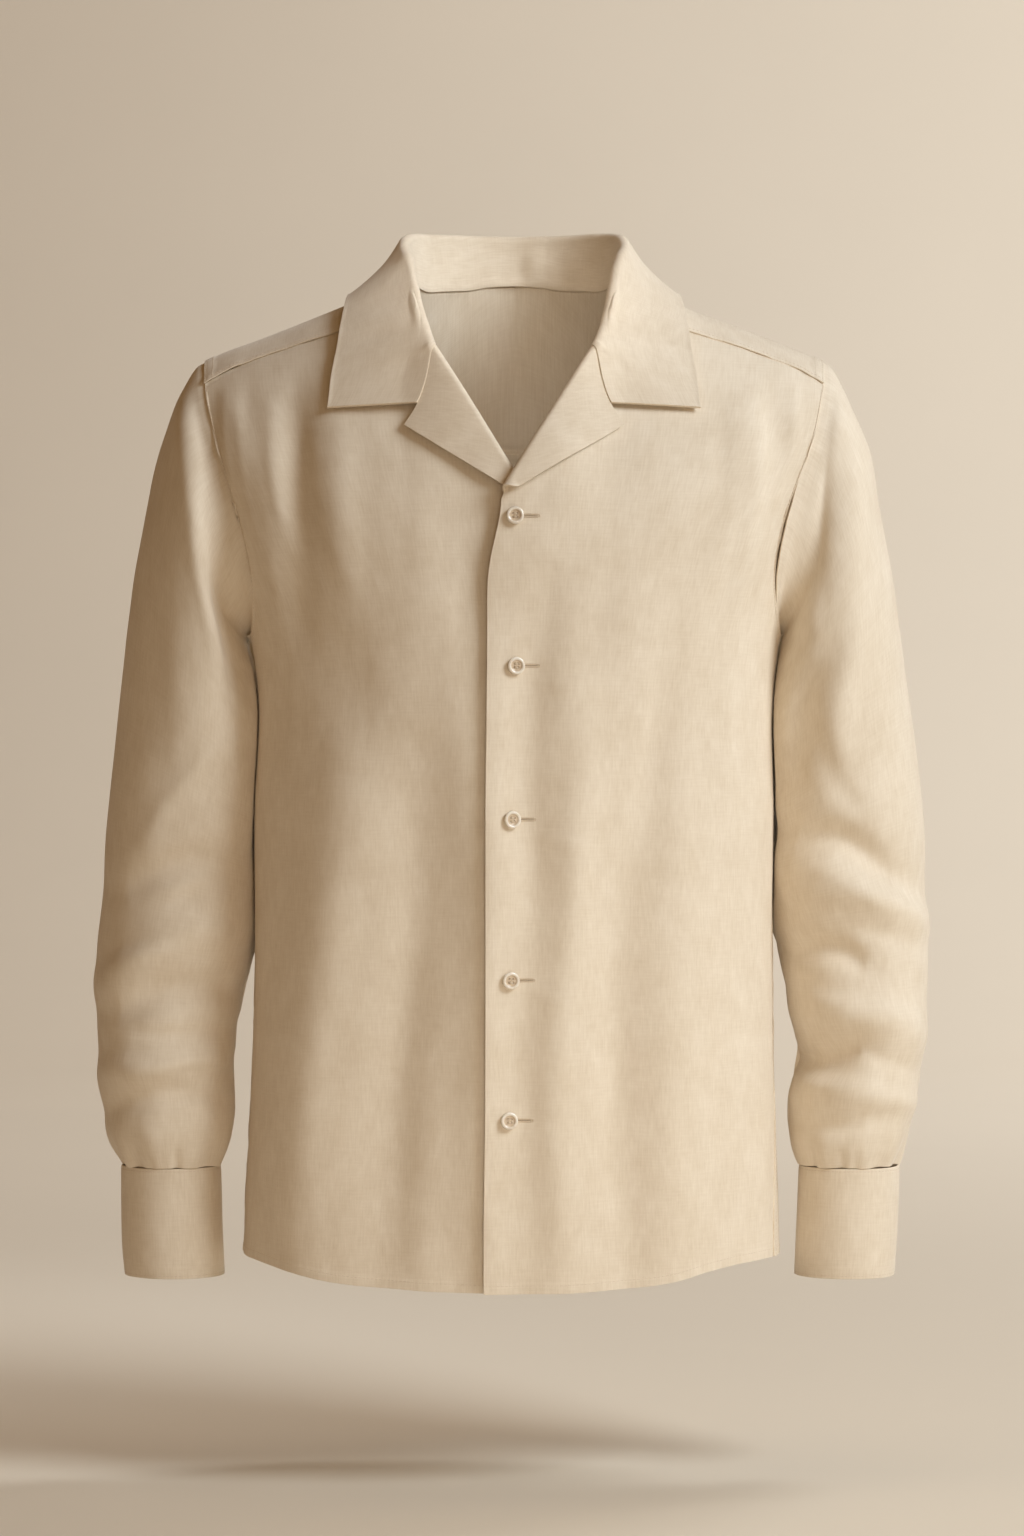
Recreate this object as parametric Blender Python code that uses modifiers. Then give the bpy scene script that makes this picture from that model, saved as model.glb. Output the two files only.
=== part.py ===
"""Camp collar shirt with long sleeves, filled out as if worn, with nobody in it.

Metres, +Z up.  +X is the wearer's left, -Y the front.  The origin lies between the two
high shoulder points, where the wearer's neck and shoulders carry the shirt.

Every cloth piece is one wall: a surface worked out on a grid of rows and columns, with
its thickness added on the inner side.  Surfaces come from short tables of real sizes.
"""
import math

import bmesh
import bpy
import numpy as np
from mathutils import Vector

MM = 0.001

# ---------------------------------------------------------------- driving sizes
WALL = 1.4 * MM                # cloth wall, one layer with its turned edges
CHEST_HEIGHT = -215 * MM       # below this level the body is a plain upright tube
UNDERARM_HEIGHT = -268 * MM    # lowest point of the armhole
SECTION_POWER = 2.3            # 2 is an ellipse, more is squarer
ARCH_POWER = 1.75              # the same for the arch over the shoulders
SHOULDER_SLOPE = 0.39          # fall of the shoulder line for each unit outwards
NECK_SIDE = 75 * MM            # high shoulder point from the centre
NECK_RISE = 64 * MM            # how far the cloth would climb at the centre of the neck
SHOULDER_TOP = -4 * MM         # height of the shoulder line at the neck
EDGE_FROM_CENTRE = 20 * MM     # front edge past the centre line
BREAK_ACROSS = -9 * MM         # where the roll line meets the front edge
BREAK_HEIGHT = -175 * MM
ROLL_RADIUS = 2.6 * MM         # inner radius of the lapel's soft fold
LAPEL_SETTLE = 2.0 * MM        # the lapel's outer edge sinks this much towards the front
LAPEL_BOW = 5.5 * MM           # sideways bow of the lapel's top edge
TOP_FRONT_LIFT = 3.0 * MM      # the buttoned-over front stands out
UNDER_FRONT_SINK = 2.6 * MM    # and the one below it lies in
BUTTON_RADIUS = 6.35 * MM
BUTTON_THICK = 2.6 * MM
BUTTON_CLEARANCE = 0.9 * MM    # room between a button's back and the cloth
HOLE_RADIUS = 0.75 * MM
HOLE_RING = 1.75 * MM
CUFF_WALL_GAP = 0.5 * MM
CUFF_LAP = 22 * MM             # the cuff's ends overlap by this much
SLEEVE_CLEARANCE = 2.8 * MM    # between a hanging sleeve and the body
COLLAR_EDGE_HEIGHT = 4.0 * MM  # collar leaf above the cloth it lies on
COLLAR_SEAM_GAP = 0.4 * MM
COLLAR_NECK_GAP = 0.7 * MM     # more beside the front's neck edge, where the walls face
SIDE_SEAM_SWING = 0.16         # forward swing of the left side seam at the hem, in girth

# ---------------------------------------------------------------- tables


def table(names, rows):
    """Rows of millimetres, or degrees, as a dictionary of named columns."""
    values = np.array(rows, dtype=float)
    columns = {}
    for index, name in enumerate(names.split()):
        scale = math.pi / 180 if name.endswith("angle") else 1.0 if name.endswith("_n") else MM
        columns[name] = values[:, index] * scale
    return columns


# level sections of the body tube, from below the hem to above the shoulders
BODY = table("height half_width front back shift", [
    (-770, 197.5, 108, 112, -1.5),
    (-700, 197.0, 111, 113, -1.5),
    (-620, 194.0, 115, 113, -0.5),
    (-520, 191.5, 120, 112, 0),
    (-400, 192.0, 125, 113, 0),
    (-290, 193.0, 129, 117, 1),
    (-250, 201.0, 130, 119, 1),
    (-215, 214.0, 130, 120, 0),
    (-180, 229.0, 130, 120, 0),
    (-140, 248.0, 130, 120, 0),
    (-110, 258.0, 130, 120, 0),
    (-80, 264.0, 130, 120, 0),
    (100, 268.0, 130, 120, 0),
])

# the neck seam, from the gorge where the roll line crosses it to the centre back
NECK = table("across arch_angle", [
    (59.5, 43.2),
    (69.5, 52.0),
    (75.5, 62.0),
    (78.0, 78.0),
    (77.5, 93.0),
    (71.5, 106.0),
    (59.0, 116.5),
    (34.0, 127.0),
    (0.0, 132.4),
])
YOKE_ALONG_NECK = 2.0 / 8.0    # the yoke starts at the third row of NECK

# the front yoke seam, from the neck to the armhole
YOKE_SEAM = table("across height", [
    (75.5, -30.0),
    (98.0, -35.5),
    (124.0, -45.0),
    (170.0, -58.5),
    (205.0, -71.5),
    (226.5, -83.0),
])
BACK_YOKE_HEIGHT = -124 * MM
BACK_YOKE_END = -116 * MM      # where it meets the armhole

# the armhole seam as seen from the front; the back one is its mirror image
ARMHOLE = table("across height", [
    (228.5, -63.9),
    (226.5, -83.0),
    (220.5, -111.5),
    (211.0, -142.0),
    (199.5, -181.0),
    (192.5, -215.0),
    (190.8, -243.0),
    (192.8, -262.0),
    (194.6, -268.0),
])

# lapel and collar corners, as they lie on the fronts
GORGE = (59.5 * MM, -62.0 * MM)
LAPEL_POINT = (77.5 * MM, -121.5 * MM)
NOTCH_SHARE = 0.645            # the notch, as a share of the lapel's top edge
COLLAR_POINT = (132.5 * MM, -109.0 * MM)

# the folded collar, a row for each section from the gorge to the centre back: its share
# of the neck seam, the middle of its roll, the way the stand points there, the roll's
# radius and the outer edge
COLLAR = table("share_n roll_x roll_y roll_z up_x_n up_y_n up_z_n radius edge_across edge_angle", [
    (0.000, 59.5, -89.4, -62.0, -0.81, -0.18, 0.55, 2.6, 129.5, 48.5),
    (0.240, 69.0, -56.0, -31.5, -0.72, -0.20, 0.66, 3.2, 126.0, 61.0),
    (0.375, 74.5, -22.0, 0.0, -0.40, -0.12, 0.90, 3.8, 122.5, 77.0),
    (0.500, 78.0, 4.0, 17.0, -0.22, -0.03, 0.97, 4.3, 119.0, 98.0),
    (0.625, 73.0, 27.0, 27.5, -0.16, -0.05, 0.98, 4.6, 111.0, 113.5),
    (0.750, 61.0, 46.5, 31.5, -0.10, -0.08, 0.99, 4.7, 92.5, 120.6),
    (0.812, 50.0, 56.3, 32.6, -0.07, -0.09, 0.99, 4.8, 74.0, 125.2),
    (0.875, 36.0, 65.0, 33.3, -0.05, -0.10, 0.99, 4.8, 52.0, 133.5),
    (0.937, 18.7, 71.5, 33.8, -0.03, -0.10, 0.99, 4.8, 26.5, 139.9),
    (1.000, 0.0, 74.0, 34.0, 0.00, -0.10, 0.99, 4.8, 0.0, 142.6),
])

# hem as it hangs: height over distance from the centre front or back
HEM = table("across height", [
    (0, -740),
    (75, -738.5),
    (132, -734),
    (165, -727),
    (185, -723.5),
    (200, -722),
])

# sleeve sections from the shoulder down; out and in are the outer and inner side
SLEEVE = table("out_x out_z in_x in_z middle_y half_depth", [
    (245, -86, 197.5, -271, 2, 70),
    (259, -122, 198.0, -281, 5, 74),
    (272, -170, 194.0, -303, 9, 77),
    (282, -222, 187.0, -334, 14, 78),
    (290, -285, 184.0, -368, 19, 77),
    (297, -345, 184.0, -405, 22, 73),
    (303, -410, 185.0, -446, 22, 68),
    (306, -468, 190.0, -486, 19, 64),
    (308.5, -528, 199.5, -534, 13, 60),
    (306, -575, 208.0, -578, 7, 55),
    (302.5, -615, 207.0, -615, 2, 50),
    (297, -642, 211.5, -642, -1, 44),
    (289.8, -657.5, 216.2, -657.5, -2, 37.5),
])

# cuff sections, top to bottom
CUFF = table("out_x out_z in_x in_z middle_y half_depth", [
    (291.2, -658, 216.8, -658, -2, 38),
    (291.0, -685, 215.8, -685, -2, 38),
    (290.0, -715, 214.4, -715, -3, 37.5),
    (288.0, -738.5, 213.4, -738.5, -3, 37),
])
LEFT_SLEEVE_IN = 6.5 * MM      # the wearer's left cuff hangs nearer the body
SWING_FROM = -420 * MM

BUTTONS = table("across height", [
    (0.7, -187),
    (0.0, -292.5),
    (-2.0, -401.5),
    (-2.8, -515.5),
    (-3.4, -615.5),
])

# folds of the fronts as seen from the front: start, end, sideways bow, half width and
# height of each soft ridge (+) or trough (-)
FRONT_FOLDS = table("x1 z1 x2 z2 bow width depth", [
    (-205, -100, -172, -260, -8, 13, -5),
    (-222, -95, -183, -190, -4, 10, 3.5),
    (-180, -110, -150, -300, -6, 14, 3.5),
    (-140, -380, -135, -740, 6, 24, 6.5),
    (-95, -330, -78, -740, 4, 22, -6),
    (-40, -420, -46, -740, -2, 18, 4),
    (-165, -480, -170, -735, 4, 14, -4),
    (38, -220, 14, -500, 16, 20, -4.5),
    (45, -560, 22, -735, -6, 20, -3.5),
    (132, -330, 76, -600, 12, 26, -6),
    (80, -600, 70, -740, 2, 24, -5),
    (108, -520, 118, -740, 0, 20, 5),
    (165, -250, 152, -600, 4, 20, 5),
    (196, -110, 178, -260, -6, 11, -4.5),
    (172, -110, 160, -240, -4, 12, 3.5),
    (178, -500, 168, -730, 3, 9, -4),
])
BACK_FOLDS = table("x1 z1 x2 z2 bow width depth", [
    (-185, -170, -120, -420, 10, 17, -5),
    (-150, -260, -95, -740, 6, 24, 5.5),
    (-40, -300, -60, -740, -5, 26, -6),
    (20, -240, 25, -740, 6, 22, 5),
    (95, -380, 70, -740, 4, 24, -6.5),
    (186, -180, 125, -430, -9, 16, -5),
    (150, -420, 135, -740, -4, 22, 5.5),
])
RIGHT_SLEEVE_FOLDS = table("x1 z1 x2 z2 bow width depth", [
    (-232, -100, -214, -330, -5, 13, 5),
    (-262, -160, -262, -330, 0, 14, -3.5),
    (-205, -430, -285, -455, 8, 13, -5),
    (-205, -480, -300, -520, 8, 14, 5),
    (-205, -528, -290, -540, 9, 12, -6),
    (-210, -572, -302, -590, -6, 12, 5.5),
    (-212, -604, -300, -616, 6, 9, -5),
])
LEFT_SLEEVE_FOLDS = table("x1 z1 x2 z2 bow width depth", [
    (243, -120, 236, -215, 4, 11, -5),
    (270, -120, 268, -330, 0, 15, 4),
    (246, -310, 210, -375, -5, 14, -5.5),
    (205, -418, 285, -448, -9, 13, -8),
    (215, -455, 302, -478, -8, 13, 6.5),
    (205, -500, 258, -512, -7, 11, -7),
    (212, -548, 300, -560, -6, 13, 6.5),
    (208, -582, 252, -568, 5, 9, -7),
    (212, -602, 300, -612, -5, 10, 5),
    (212, -624, 256, -622, 4, 8, -5),
])
SLEEVE_BACK_FOLDS = table("x1 z1 x2 z2 bow width depth", [
    (262, -140, 232, -330, 4, 15, 4.5),
    (208, -415, 300, -440, 7, 14, -6),
    (208, -470, 302, -490, -6, 14, 5.5),
    (210, -530, 300, -535, 6, 12, -6),
    (212, -585, 300, -590, -5, 11, 5),
])
CUFF_GATHERS = 9               # little pleats round each sleeve where it meets the cuff
GATHER_DEPTH = 1.3 * MM

CLOTH_COLOUR = (0.72, 0.62, 0.48, 1.0)
CLOTH_ROUGHNESS = 0.9
BUTTON_COLOUR = (0.80, 0.70, 0.55, 1.0)
BUTTON_ROUGHNESS = 0.35


# ---------------------------------------------------------------- number helpers
def follow(knots, values, at):
    """Smooth curve through values at rising knots, read at the places `at`."""
    knots = np.asarray(knots, dtype=float)
    values = np.asarray(values, dtype=float)
    at = np.clip(np.asarray(at, dtype=float), knots[0], knots[-1])
    slope = np.gradient(values, knots, axis=0)
    low = np.clip(np.searchsorted(knots, at, side="right") - 1, 0, len(knots) - 2)
    step = knots[low + 1] - knots[low]
    part = (at - knots[low]) / step
    if values.ndim > 1:
        shape = part.shape + (1,) * (values.ndim - 1)
        step = step.reshape(shape)
        part = part.reshape(shape)
    square = part * part
    cube = square * part
    return ((2 * cube - 3 * square + 1) * values[low] + (cube - 2 * square + part) * step * slope[low]
            + (3 * square - 2 * cube) * values[low + 1] + (cube - square) * step * slope[low + 1])


def ease(value, start, end):
    """0 before start, 1 after end, smooth between."""
    part = np.clip((np.asarray(value, dtype=float) - start) / (end - start), 0, 1)
    return part * part * (3 - 2 * part)


def unit(vectors):
    return vectors / np.maximum(np.linalg.norm(vectors, axis=-1, keepdims=True), 1e-12)


def stack(x, y, z):
    return np.stack(np.broadcast_arrays(x, y, z), axis=-1)


# ---------------------------------------------------------------- the body's form
def _section_rule(samples=2001):
    """Girth fraction from centre to side against the section's width and depth."""
    turn = np.linspace(0, math.pi / 2, samples)
    ratio = 1.6
    across = np.sin(turn)
    deep = np.cos(turn)
    reach = ((across / ratio) ** SECTION_POWER + deep ** SECTION_POWER) ** (-1 / SECTION_POWER)
    x = reach * across
    y = reach * deep
    girth = np.concatenate([[0], np.cumsum(np.hypot(np.diff(x), np.diff(y)))])
    return girth / girth[-1], x / ratio, y


GIRTH, GIRTH_WIDTH, GIRTH_DEPTH = _section_rule()


def shoulder_height(x):
    """Height of the shoulder line; inside the neck it climbs as the cloth would."""
    across = np.abs(x)
    climb = np.clip(1 - (across / (NECK_SIDE + 5 * MM)) ** 2, 0, 1) ** 1.5
    return SHOULDER_TOP - SHOULDER_SLOPE * (across - NECK_SIDE) + NECK_RISE * climb


def level_depth(z, back):
    return follow(BODY["height"], BODY["back"] if back else BODY["front"], z)


def half_width(z):
    return follow(BODY["height"], BODY["half_width"], z)


def side_depth(x, z):
    """Share of the full depth that is left at x."""
    share = np.clip(np.abs(x) / half_width(z), 0, 1)
    return np.clip(1 - share ** SECTION_POWER, 0, 1) ** (1 / SECTION_POWER)


def arch_depth(x, z):
    climb = np.clip((z - CHEST_HEIGHT) / (shoulder_height(x) - CHEST_HEIGHT), 0, 1)
    return np.clip(1 - climb ** ARCH_POWER, 0, 1) ** (1 / ARCH_POWER)


def girth_at(x, z):
    """Signed girth fraction of a place given by x and height."""
    share = np.clip(np.abs(x) / half_width(z), 0, 1)
    return np.sign(x) * np.interp(share, GIRTH_WIDTH, GIRTH)


def body_at(girth, z):
    """Point of the body by girth and height.

    Girth is 0 at the centre front, 1 at the wearer's left side, 2 at the centre back,
    and the same with a minus sign on the wearer's right.
    """
    round_by = np.abs(girth)
    back = round_by > 1
    share = np.clip(np.where(back, 2 - round_by, round_by), 0, 1)
    x = np.sign(girth) * half_width(z) * np.interp(share, GIRTH, GIRTH_WIDTH)
    depth = np.where(back, level_depth(z, True), -level_depth(z, False))
    deep = depth * np.interp(share, GIRTH, GIRTH_DEPTH) * arch_depth(x, z)
    shift = follow(BODY["height"], BODY["shift"], z)
    return stack(x + shift, deep, z)


def arch_at(x, turn):
    """Point over the shoulders: turn 0 is the chest, a quarter turn the shoulder line."""
    power = 2 / ARCH_POWER
    climb = np.abs(np.sin(turn)) ** power
    z = CHEST_HEIGHT + (shoulder_height(x) - CHEST_HEIGHT) * climb
    swing = np.abs(np.cos(turn)) ** power
    front = turn < math.pi / 2
    depth = np.where(front, -level_depth(z, False), level_depth(z, True))
    return stack(x, depth * side_depth(x, z) * swing, z)


def arch_turn(x, z):
    """The turn of a front place given by x and height."""
    climb = np.clip((z - CHEST_HEIGHT) / (shoulder_height(x) - CHEST_HEIGHT), 0, 1)
    return np.arcsin(climb ** (ARCH_POWER / 2))


def body_normal(girth, z):
    """Outward unit normal of the body at a girth and height."""
    turn_step, rise_step = 0.002, 0.5 * MM
    along = body_at(girth + turn_step, z) - body_at(girth - turn_step, z)
    up = body_at(girth, z + rise_step) - body_at(girth, z - rise_step)
    return unit(np.cross(along, up))


def clear_of_body(points, clearance):
    """Points pushed outwards until they stand clear of the body and shoulders."""
    x, y, z = points[..., 0], points[..., 1], points[..., 2]
    depth = np.where(y < 0, level_depth(z, False), level_depth(z, True)) * side_depth(x, z)
    rise = shoulder_height(x) - CHEST_HEIGHT
    climb = np.clip((z - CHEST_HEIGHT) / rise, 0, None)
    out = np.abs(y) / np.maximum(depth, 1 * MM)
    radius = (climb ** ARCH_POWER + out ** ARCH_POWER) ** (1 / ARCH_POWER)
    wanted = 1 + clearance / (0.6 * np.hypot(depth, rise))
    scale = np.maximum(radius, wanted) / np.maximum(radius, 1e-6)
    return stack(x, y * scale, CHEST_HEIGHT + (z - CHEST_HEIGHT) * np.where(z > CHEST_HEIGHT, scale, 1))


# ---------------------------------------------------------------- folds
def fold_height(folds, x, z):
    """Sum of soft ridges and troughs at places seen from the front or back."""
    total = np.zeros(np.broadcast(x, z).shape)
    for row in range(len(folds["x1"])):
        x1, z1 = folds["x1"][row], folds["z1"][row]
        dx, dz = folds["x2"][row] - x1, folds["z2"][row] - z1
        length = math.hypot(dx, dz)
        along = ((x - x1) * dx + (z - z1) * dz) / length
        share = np.clip(along / length, 0, 1)
        past = along - share * length
        side = ((x - x1) * dz - (z - z1) * dx) / length - 4 * folds["bow"][row] * share * (1 - share)
        width = folds["width"][row]
        swell = np.exp(-(side / width) ** 2 - (past / (1.6 * width)) ** 2)
        total = total + folds["depth"][row] * swell * (0.35 + 0.65 * np.sin(math.pi * share) ** 0.7)
    return total


def body_cloth(girth, z, height=0.0, folds=True):
    """Points of the folded body cloth, raised by `height` along its normals."""
    point = body_at(girth, z)
    out = body_normal(girth, z)
    raised = height
    if folds:
        facing = ease(np.abs(out[..., 1]), 0.05, 0.55)
        front = fold_height(FRONT_FOLDS, point[..., 0], z)
        back = fold_height(BACK_FOLDS, point[..., 0], z)
        raised = raised + np.where(np.abs(girth) > 1, back, front) * facing
    return point + out * (raised + np.zeros_like(z))[..., None]


# ---------------------------------------------------------------- making objects
def new_material(name, colour, roughness):
    material = bpy.data.materials.new(name)
    material.use_nodes = True
    shader = material.node_tree.nodes["Principled BSDF"]
    shader.inputs["Base Color"].default_value = colour
    shader.inputs["Roughness"].default_value = roughness
    shader.inputs["Metallic"].default_value = 0.0
    return material


def cloth_wall(name, grid, collection, closed=False):
    """Wall from a grid of points: rows go up, columns go to the right seen from outside."""
    rows, columns = grid.shape[:2]
    mesh = bpy.data.meshes.new(name)
    index = np.arange(rows * columns).reshape(rows, columns)
    if closed:
        index = np.concatenate([index, index[:, :1]], axis=1)
    faces = np.stack([index[:-1, :-1], index[:-1, 1:], index[1:, 1:], index[1:, :-1]], axis=-1)
    mesh.from_pydata(grid.reshape(-1, 3).tolist(), [], faces.reshape(-1, 4).tolist())
    mesh.shade_smooth()
    wall = bpy.data.objects.new(name, mesh)
    collection.objects.link(wall)
    thick = wall.modifiers.new("Thickness", "SOLIDIFY")
    thick.thickness = WALL
    thick.offset = -1.0
    thick.use_even_offset = False
    mesh.materials.append(new_material(name + "_cloth", CLOTH_COLOUR, CLOTH_ROUGHNESS))
    return wall


# ---------------------------------------------------------------- seam lines
# steps along each seam, the same for both pieces that meet there
NECK_STEPS = 2                 # gorge to the front yoke seam
YOKE_SEAM_STEPS = 6            # along the front yoke seam
ARM_FRONT_STEPS = 7            # armhole: front, yoke before and behind the top, back
ARM_YOKE_FRONT_STEPS = 2
ARM_YOKE_BACK_STEPS = 3
ARM_BACK_STEPS = 6
BACK_YOKE_STEPS = 6            # half the back yoke seam


def armhole_line(share):
    """Armhole seam as x and height, 0 at the shoulder and 1 at the underarm."""
    knots = np.linspace(0, 1, len(ARMHOLE["across"]))
    return follow(knots, ARMHOLE["across"], share), follow(knots, ARMHOLE["height"], share)


def armhole_share(height):
    """Where along the armhole line a height lies."""
    shares = np.linspace(0, 1, 401)
    return float(np.interp(-height, -armhole_line(shares)[1], shares))


YOKE_ARM_FRONT = armhole_share(YOKE_SEAM["height"][-1])
YOKE_ARM_BACK = armhole_share(BACK_YOKE_END)


def armhole_points(begin, end, steps):
    """Evenly spaced places along the armhole line, as x and height."""
    shares = begin + (end - begin) * np.linspace(0, 1, 200) ** 1.5
    x, z = armhole_line(shares)
    line = body_at(girth_at(x, z), z)
    length = np.concatenate([[0], np.cumsum(np.linalg.norm(np.diff(line, axis=0), axis=1))])
    even = np.linspace(0, length[-1], steps + 1)
    return np.interp(even, length, x), np.interp(even, length, z)


def yoke_line(share):
    """Front yoke seam as x and height, from the neck to the armhole."""
    knots = np.linspace(0, 1, len(YOKE_SEAM["across"]))
    return follow(knots, YOKE_SEAM["across"], share), follow(knots, YOKE_SEAM["height"], share)


def back_yoke_line(share):
    """Back yoke seam as x and height, from the centre to the armhole."""
    end_x = armhole_line(YOKE_ARM_BACK)[0]
    return end_x * share, BACK_YOKE_HEIGHT + (BACK_YOKE_END - BACK_YOKE_HEIGHT) * share ** 2


def neck_line(share):
    """Neck seam, 0 at the gorge and 1 at the centre back, as x and turn over the shoulder."""
    knots = np.linspace(0, 1, len(NECK["across"]))
    return follow(knots, NECK["across"], share), follow(knots, NECK["arch_angle"], share)


def hem_height(x):
    return follow(HEM["across"], HEM["height"], np.abs(x))


def end_to_end(*lines):
    """Lines given as (x, height) joined, each starting where the last one ends."""
    x = np.concatenate([lines[0][0]] + [line[0][1:] for line in lines[1:]])
    z = np.concatenate([lines[0][1]] + [line[1][1:] for line in lines[1:]])
    return x, z


def front_top():
    """Top edge of a front, from the gorge along neck, yoke seam and armhole."""
    neck_x, turn = neck_line(np.linspace(0, YOKE_ALONG_NECK, NECK_STEPS + 1))
    neck = (neck_x, arch_at(neck_x, turn)[..., 2])
    seam = yoke_line(np.linspace(0, 1, YOKE_SEAM_STEPS + 1))
    return end_to_end(neck, seam, armhole_points(YOKE_ARM_FRONT, 1, ARM_FRONT_STEPS))


def back_top():
    """Top edge of half the back, from the centre along the yoke seam and armhole."""
    seam = back_yoke_line(np.linspace(0, 1, BACK_YOKE_STEPS + 1))
    return end_to_end(seam, armhole_points(YOKE_ARM_BACK, 1, ARM_BACK_STEPS))


def side_girth(z, side):
    """Girth of the side seam: the wearer's left one swings forward towards the hem."""
    forward = SIDE_SEAM_SWING * ease(-z, 470 * MM, 760 * MM) if side > 0 else 0.0
    return 1 - forward + np.zeros_like(z)


def trimmed(grid, sides, amount=0.25 * MM):
    """Grid with border rows or columns drawn in, to leave the gap at a seam."""
    grid = grid.copy()
    if "bottom" in sides:
        grid[0] += unit(grid[1] - grid[0]) * amount
    if "top" in sides:
        grid[-1] += unit(grid[-2] - grid[-1]) * amount
    if "left" in sides:
        grid[:, 0] += unit(grid[:, 1] - grid[:, 0]) * amount
    if "right" in sides:
        grid[:, -1] += unit(grid[:, -2] - grid[:, -1]) * amount
    return grid


# ---------------------------------------------------------------- fronts
FRONT_LOW_ROWS = 13            # hem to the break
FRONT_HIGH_ROWS = 11           # break to the top
TURN_STEPS = 5                 # round the lapel's roll
FLAT_STEPS = 3                 # across the lapel
LAPEL_STRIP = 3.0 * MM         # where the lapel's columns gather at the break


def overlap_shift(x, z, side):
    """How far a front stands out or lies in near the centre, so one passes the other."""
    near = 1 - ease(np.abs(x), 26 * MM, 72 * MM)
    below_gorge = 1 - ease(z, -150 * MM, -90 * MM)
    near_break = ease(z, -270 * MM, -195 * MM)
    lift = TOP_FRONT_LIFT + 3.4 * MM * near_break if side > 0 else -UNDER_FRONT_SINK
    return lift * near * below_gorge


def front_cloth(girth, z, side, height=0.0, folds=True):
    """Points of a front by its own girth (towards its side seam) and height."""
    x = body_at(side * girth, z)[..., 0]
    return body_cloth(side * girth, z, height + overlap_shift(x, z, side), folds)


def roll_direction():
    """Unit vectors in the plane of the front: down the roll line, and away from it."""
    down = np.array([BREAK_ACROSS - GORGE[0], BREAK_HEIGHT - GORGE[1]])
    down = down / np.linalg.norm(down)
    return down, np.array([-down[1], down[0]])


def lapel_sizes():
    """Width of the full lapel past its roll, and how far its corner slides down the roll."""
    down, out = roll_direction()
    point = np.array([LAPEL_POINT[0] - GORGE[0], LAPEL_POINT[1] - GORGE[1]])
    return point @ out, point @ down


def lapel_place(past, rise):
    """Where cloth `past` the roll line lies: x, height and how far above the front.

    It goes first round an arc, then straight back over the front; it also slides down
    the roll line, as the lapel's edge is slanted.
    """
    roll_x = BREAK_ACROSS + (GORGE[0] - BREAK_ACROSS) * rise
    roll_z = BREAK_HEIGHT + (GORGE[1] - BREAK_HEIGHT) * rise
    down, out = roll_direction()
    wide, slide = (size * rise for size in lapel_sizes())
    turn = math.pi * ease(rise, 0.0, 0.15)
    arc = turn * ROLL_RADIUS
    angle = np.clip(past / ROLL_RADIUS, 0, turn)
    flat = np.clip(past - arc, 0, None)
    reach = ROLL_RADIUS * np.sin(angle) + flat * np.cos(turn) + np.minimum(past, 0)
    height = ROLL_RADIUS * (1 - np.cos(angle)) + flat * np.sin(turn)
    across = np.clip(past, 0, None) / np.maximum(arc + wide, 1e-6)
    share = flat / np.maximum(wide, 1e-6)
    height = height - LAPEL_SETTLE * share ** 2 * ease(rise, 0.25, 0.8)
    bow = LAPEL_BOW * np.sin(math.pi * share) * rise ** 6
    x = roll_x - out[0] * reach + down[0] * (slide * across + bow)
    z = roll_z - out[1] * reach + down[1] * (slide * across + bow)
    return x, z, height


def lapel_layout(rise):
    """Lapel columns, from its outer edge to the roll line, for rows above the break."""
    wide = lapel_sizes()[0] * rise
    count = TURN_STEPS + FLAT_STEPS
    column = np.arange(count)[None, :]
    flat_share = np.clip((FLAT_STEPS - column) / FLAT_STEPS, 0, 1)
    arc_share = np.clip((count - column) / TURN_STEPS, 0, 1)
    arc = math.pi * ease(rise, 0.0, 0.15) * ROLL_RADIUS
    settled = ease(rise, 0, 0.12)
    past = settled * (arc * arc_share + wide * flat_share) - (1 - settled) * LAPEL_STRIP * column / count
    return lapel_place(past, rise)


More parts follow.
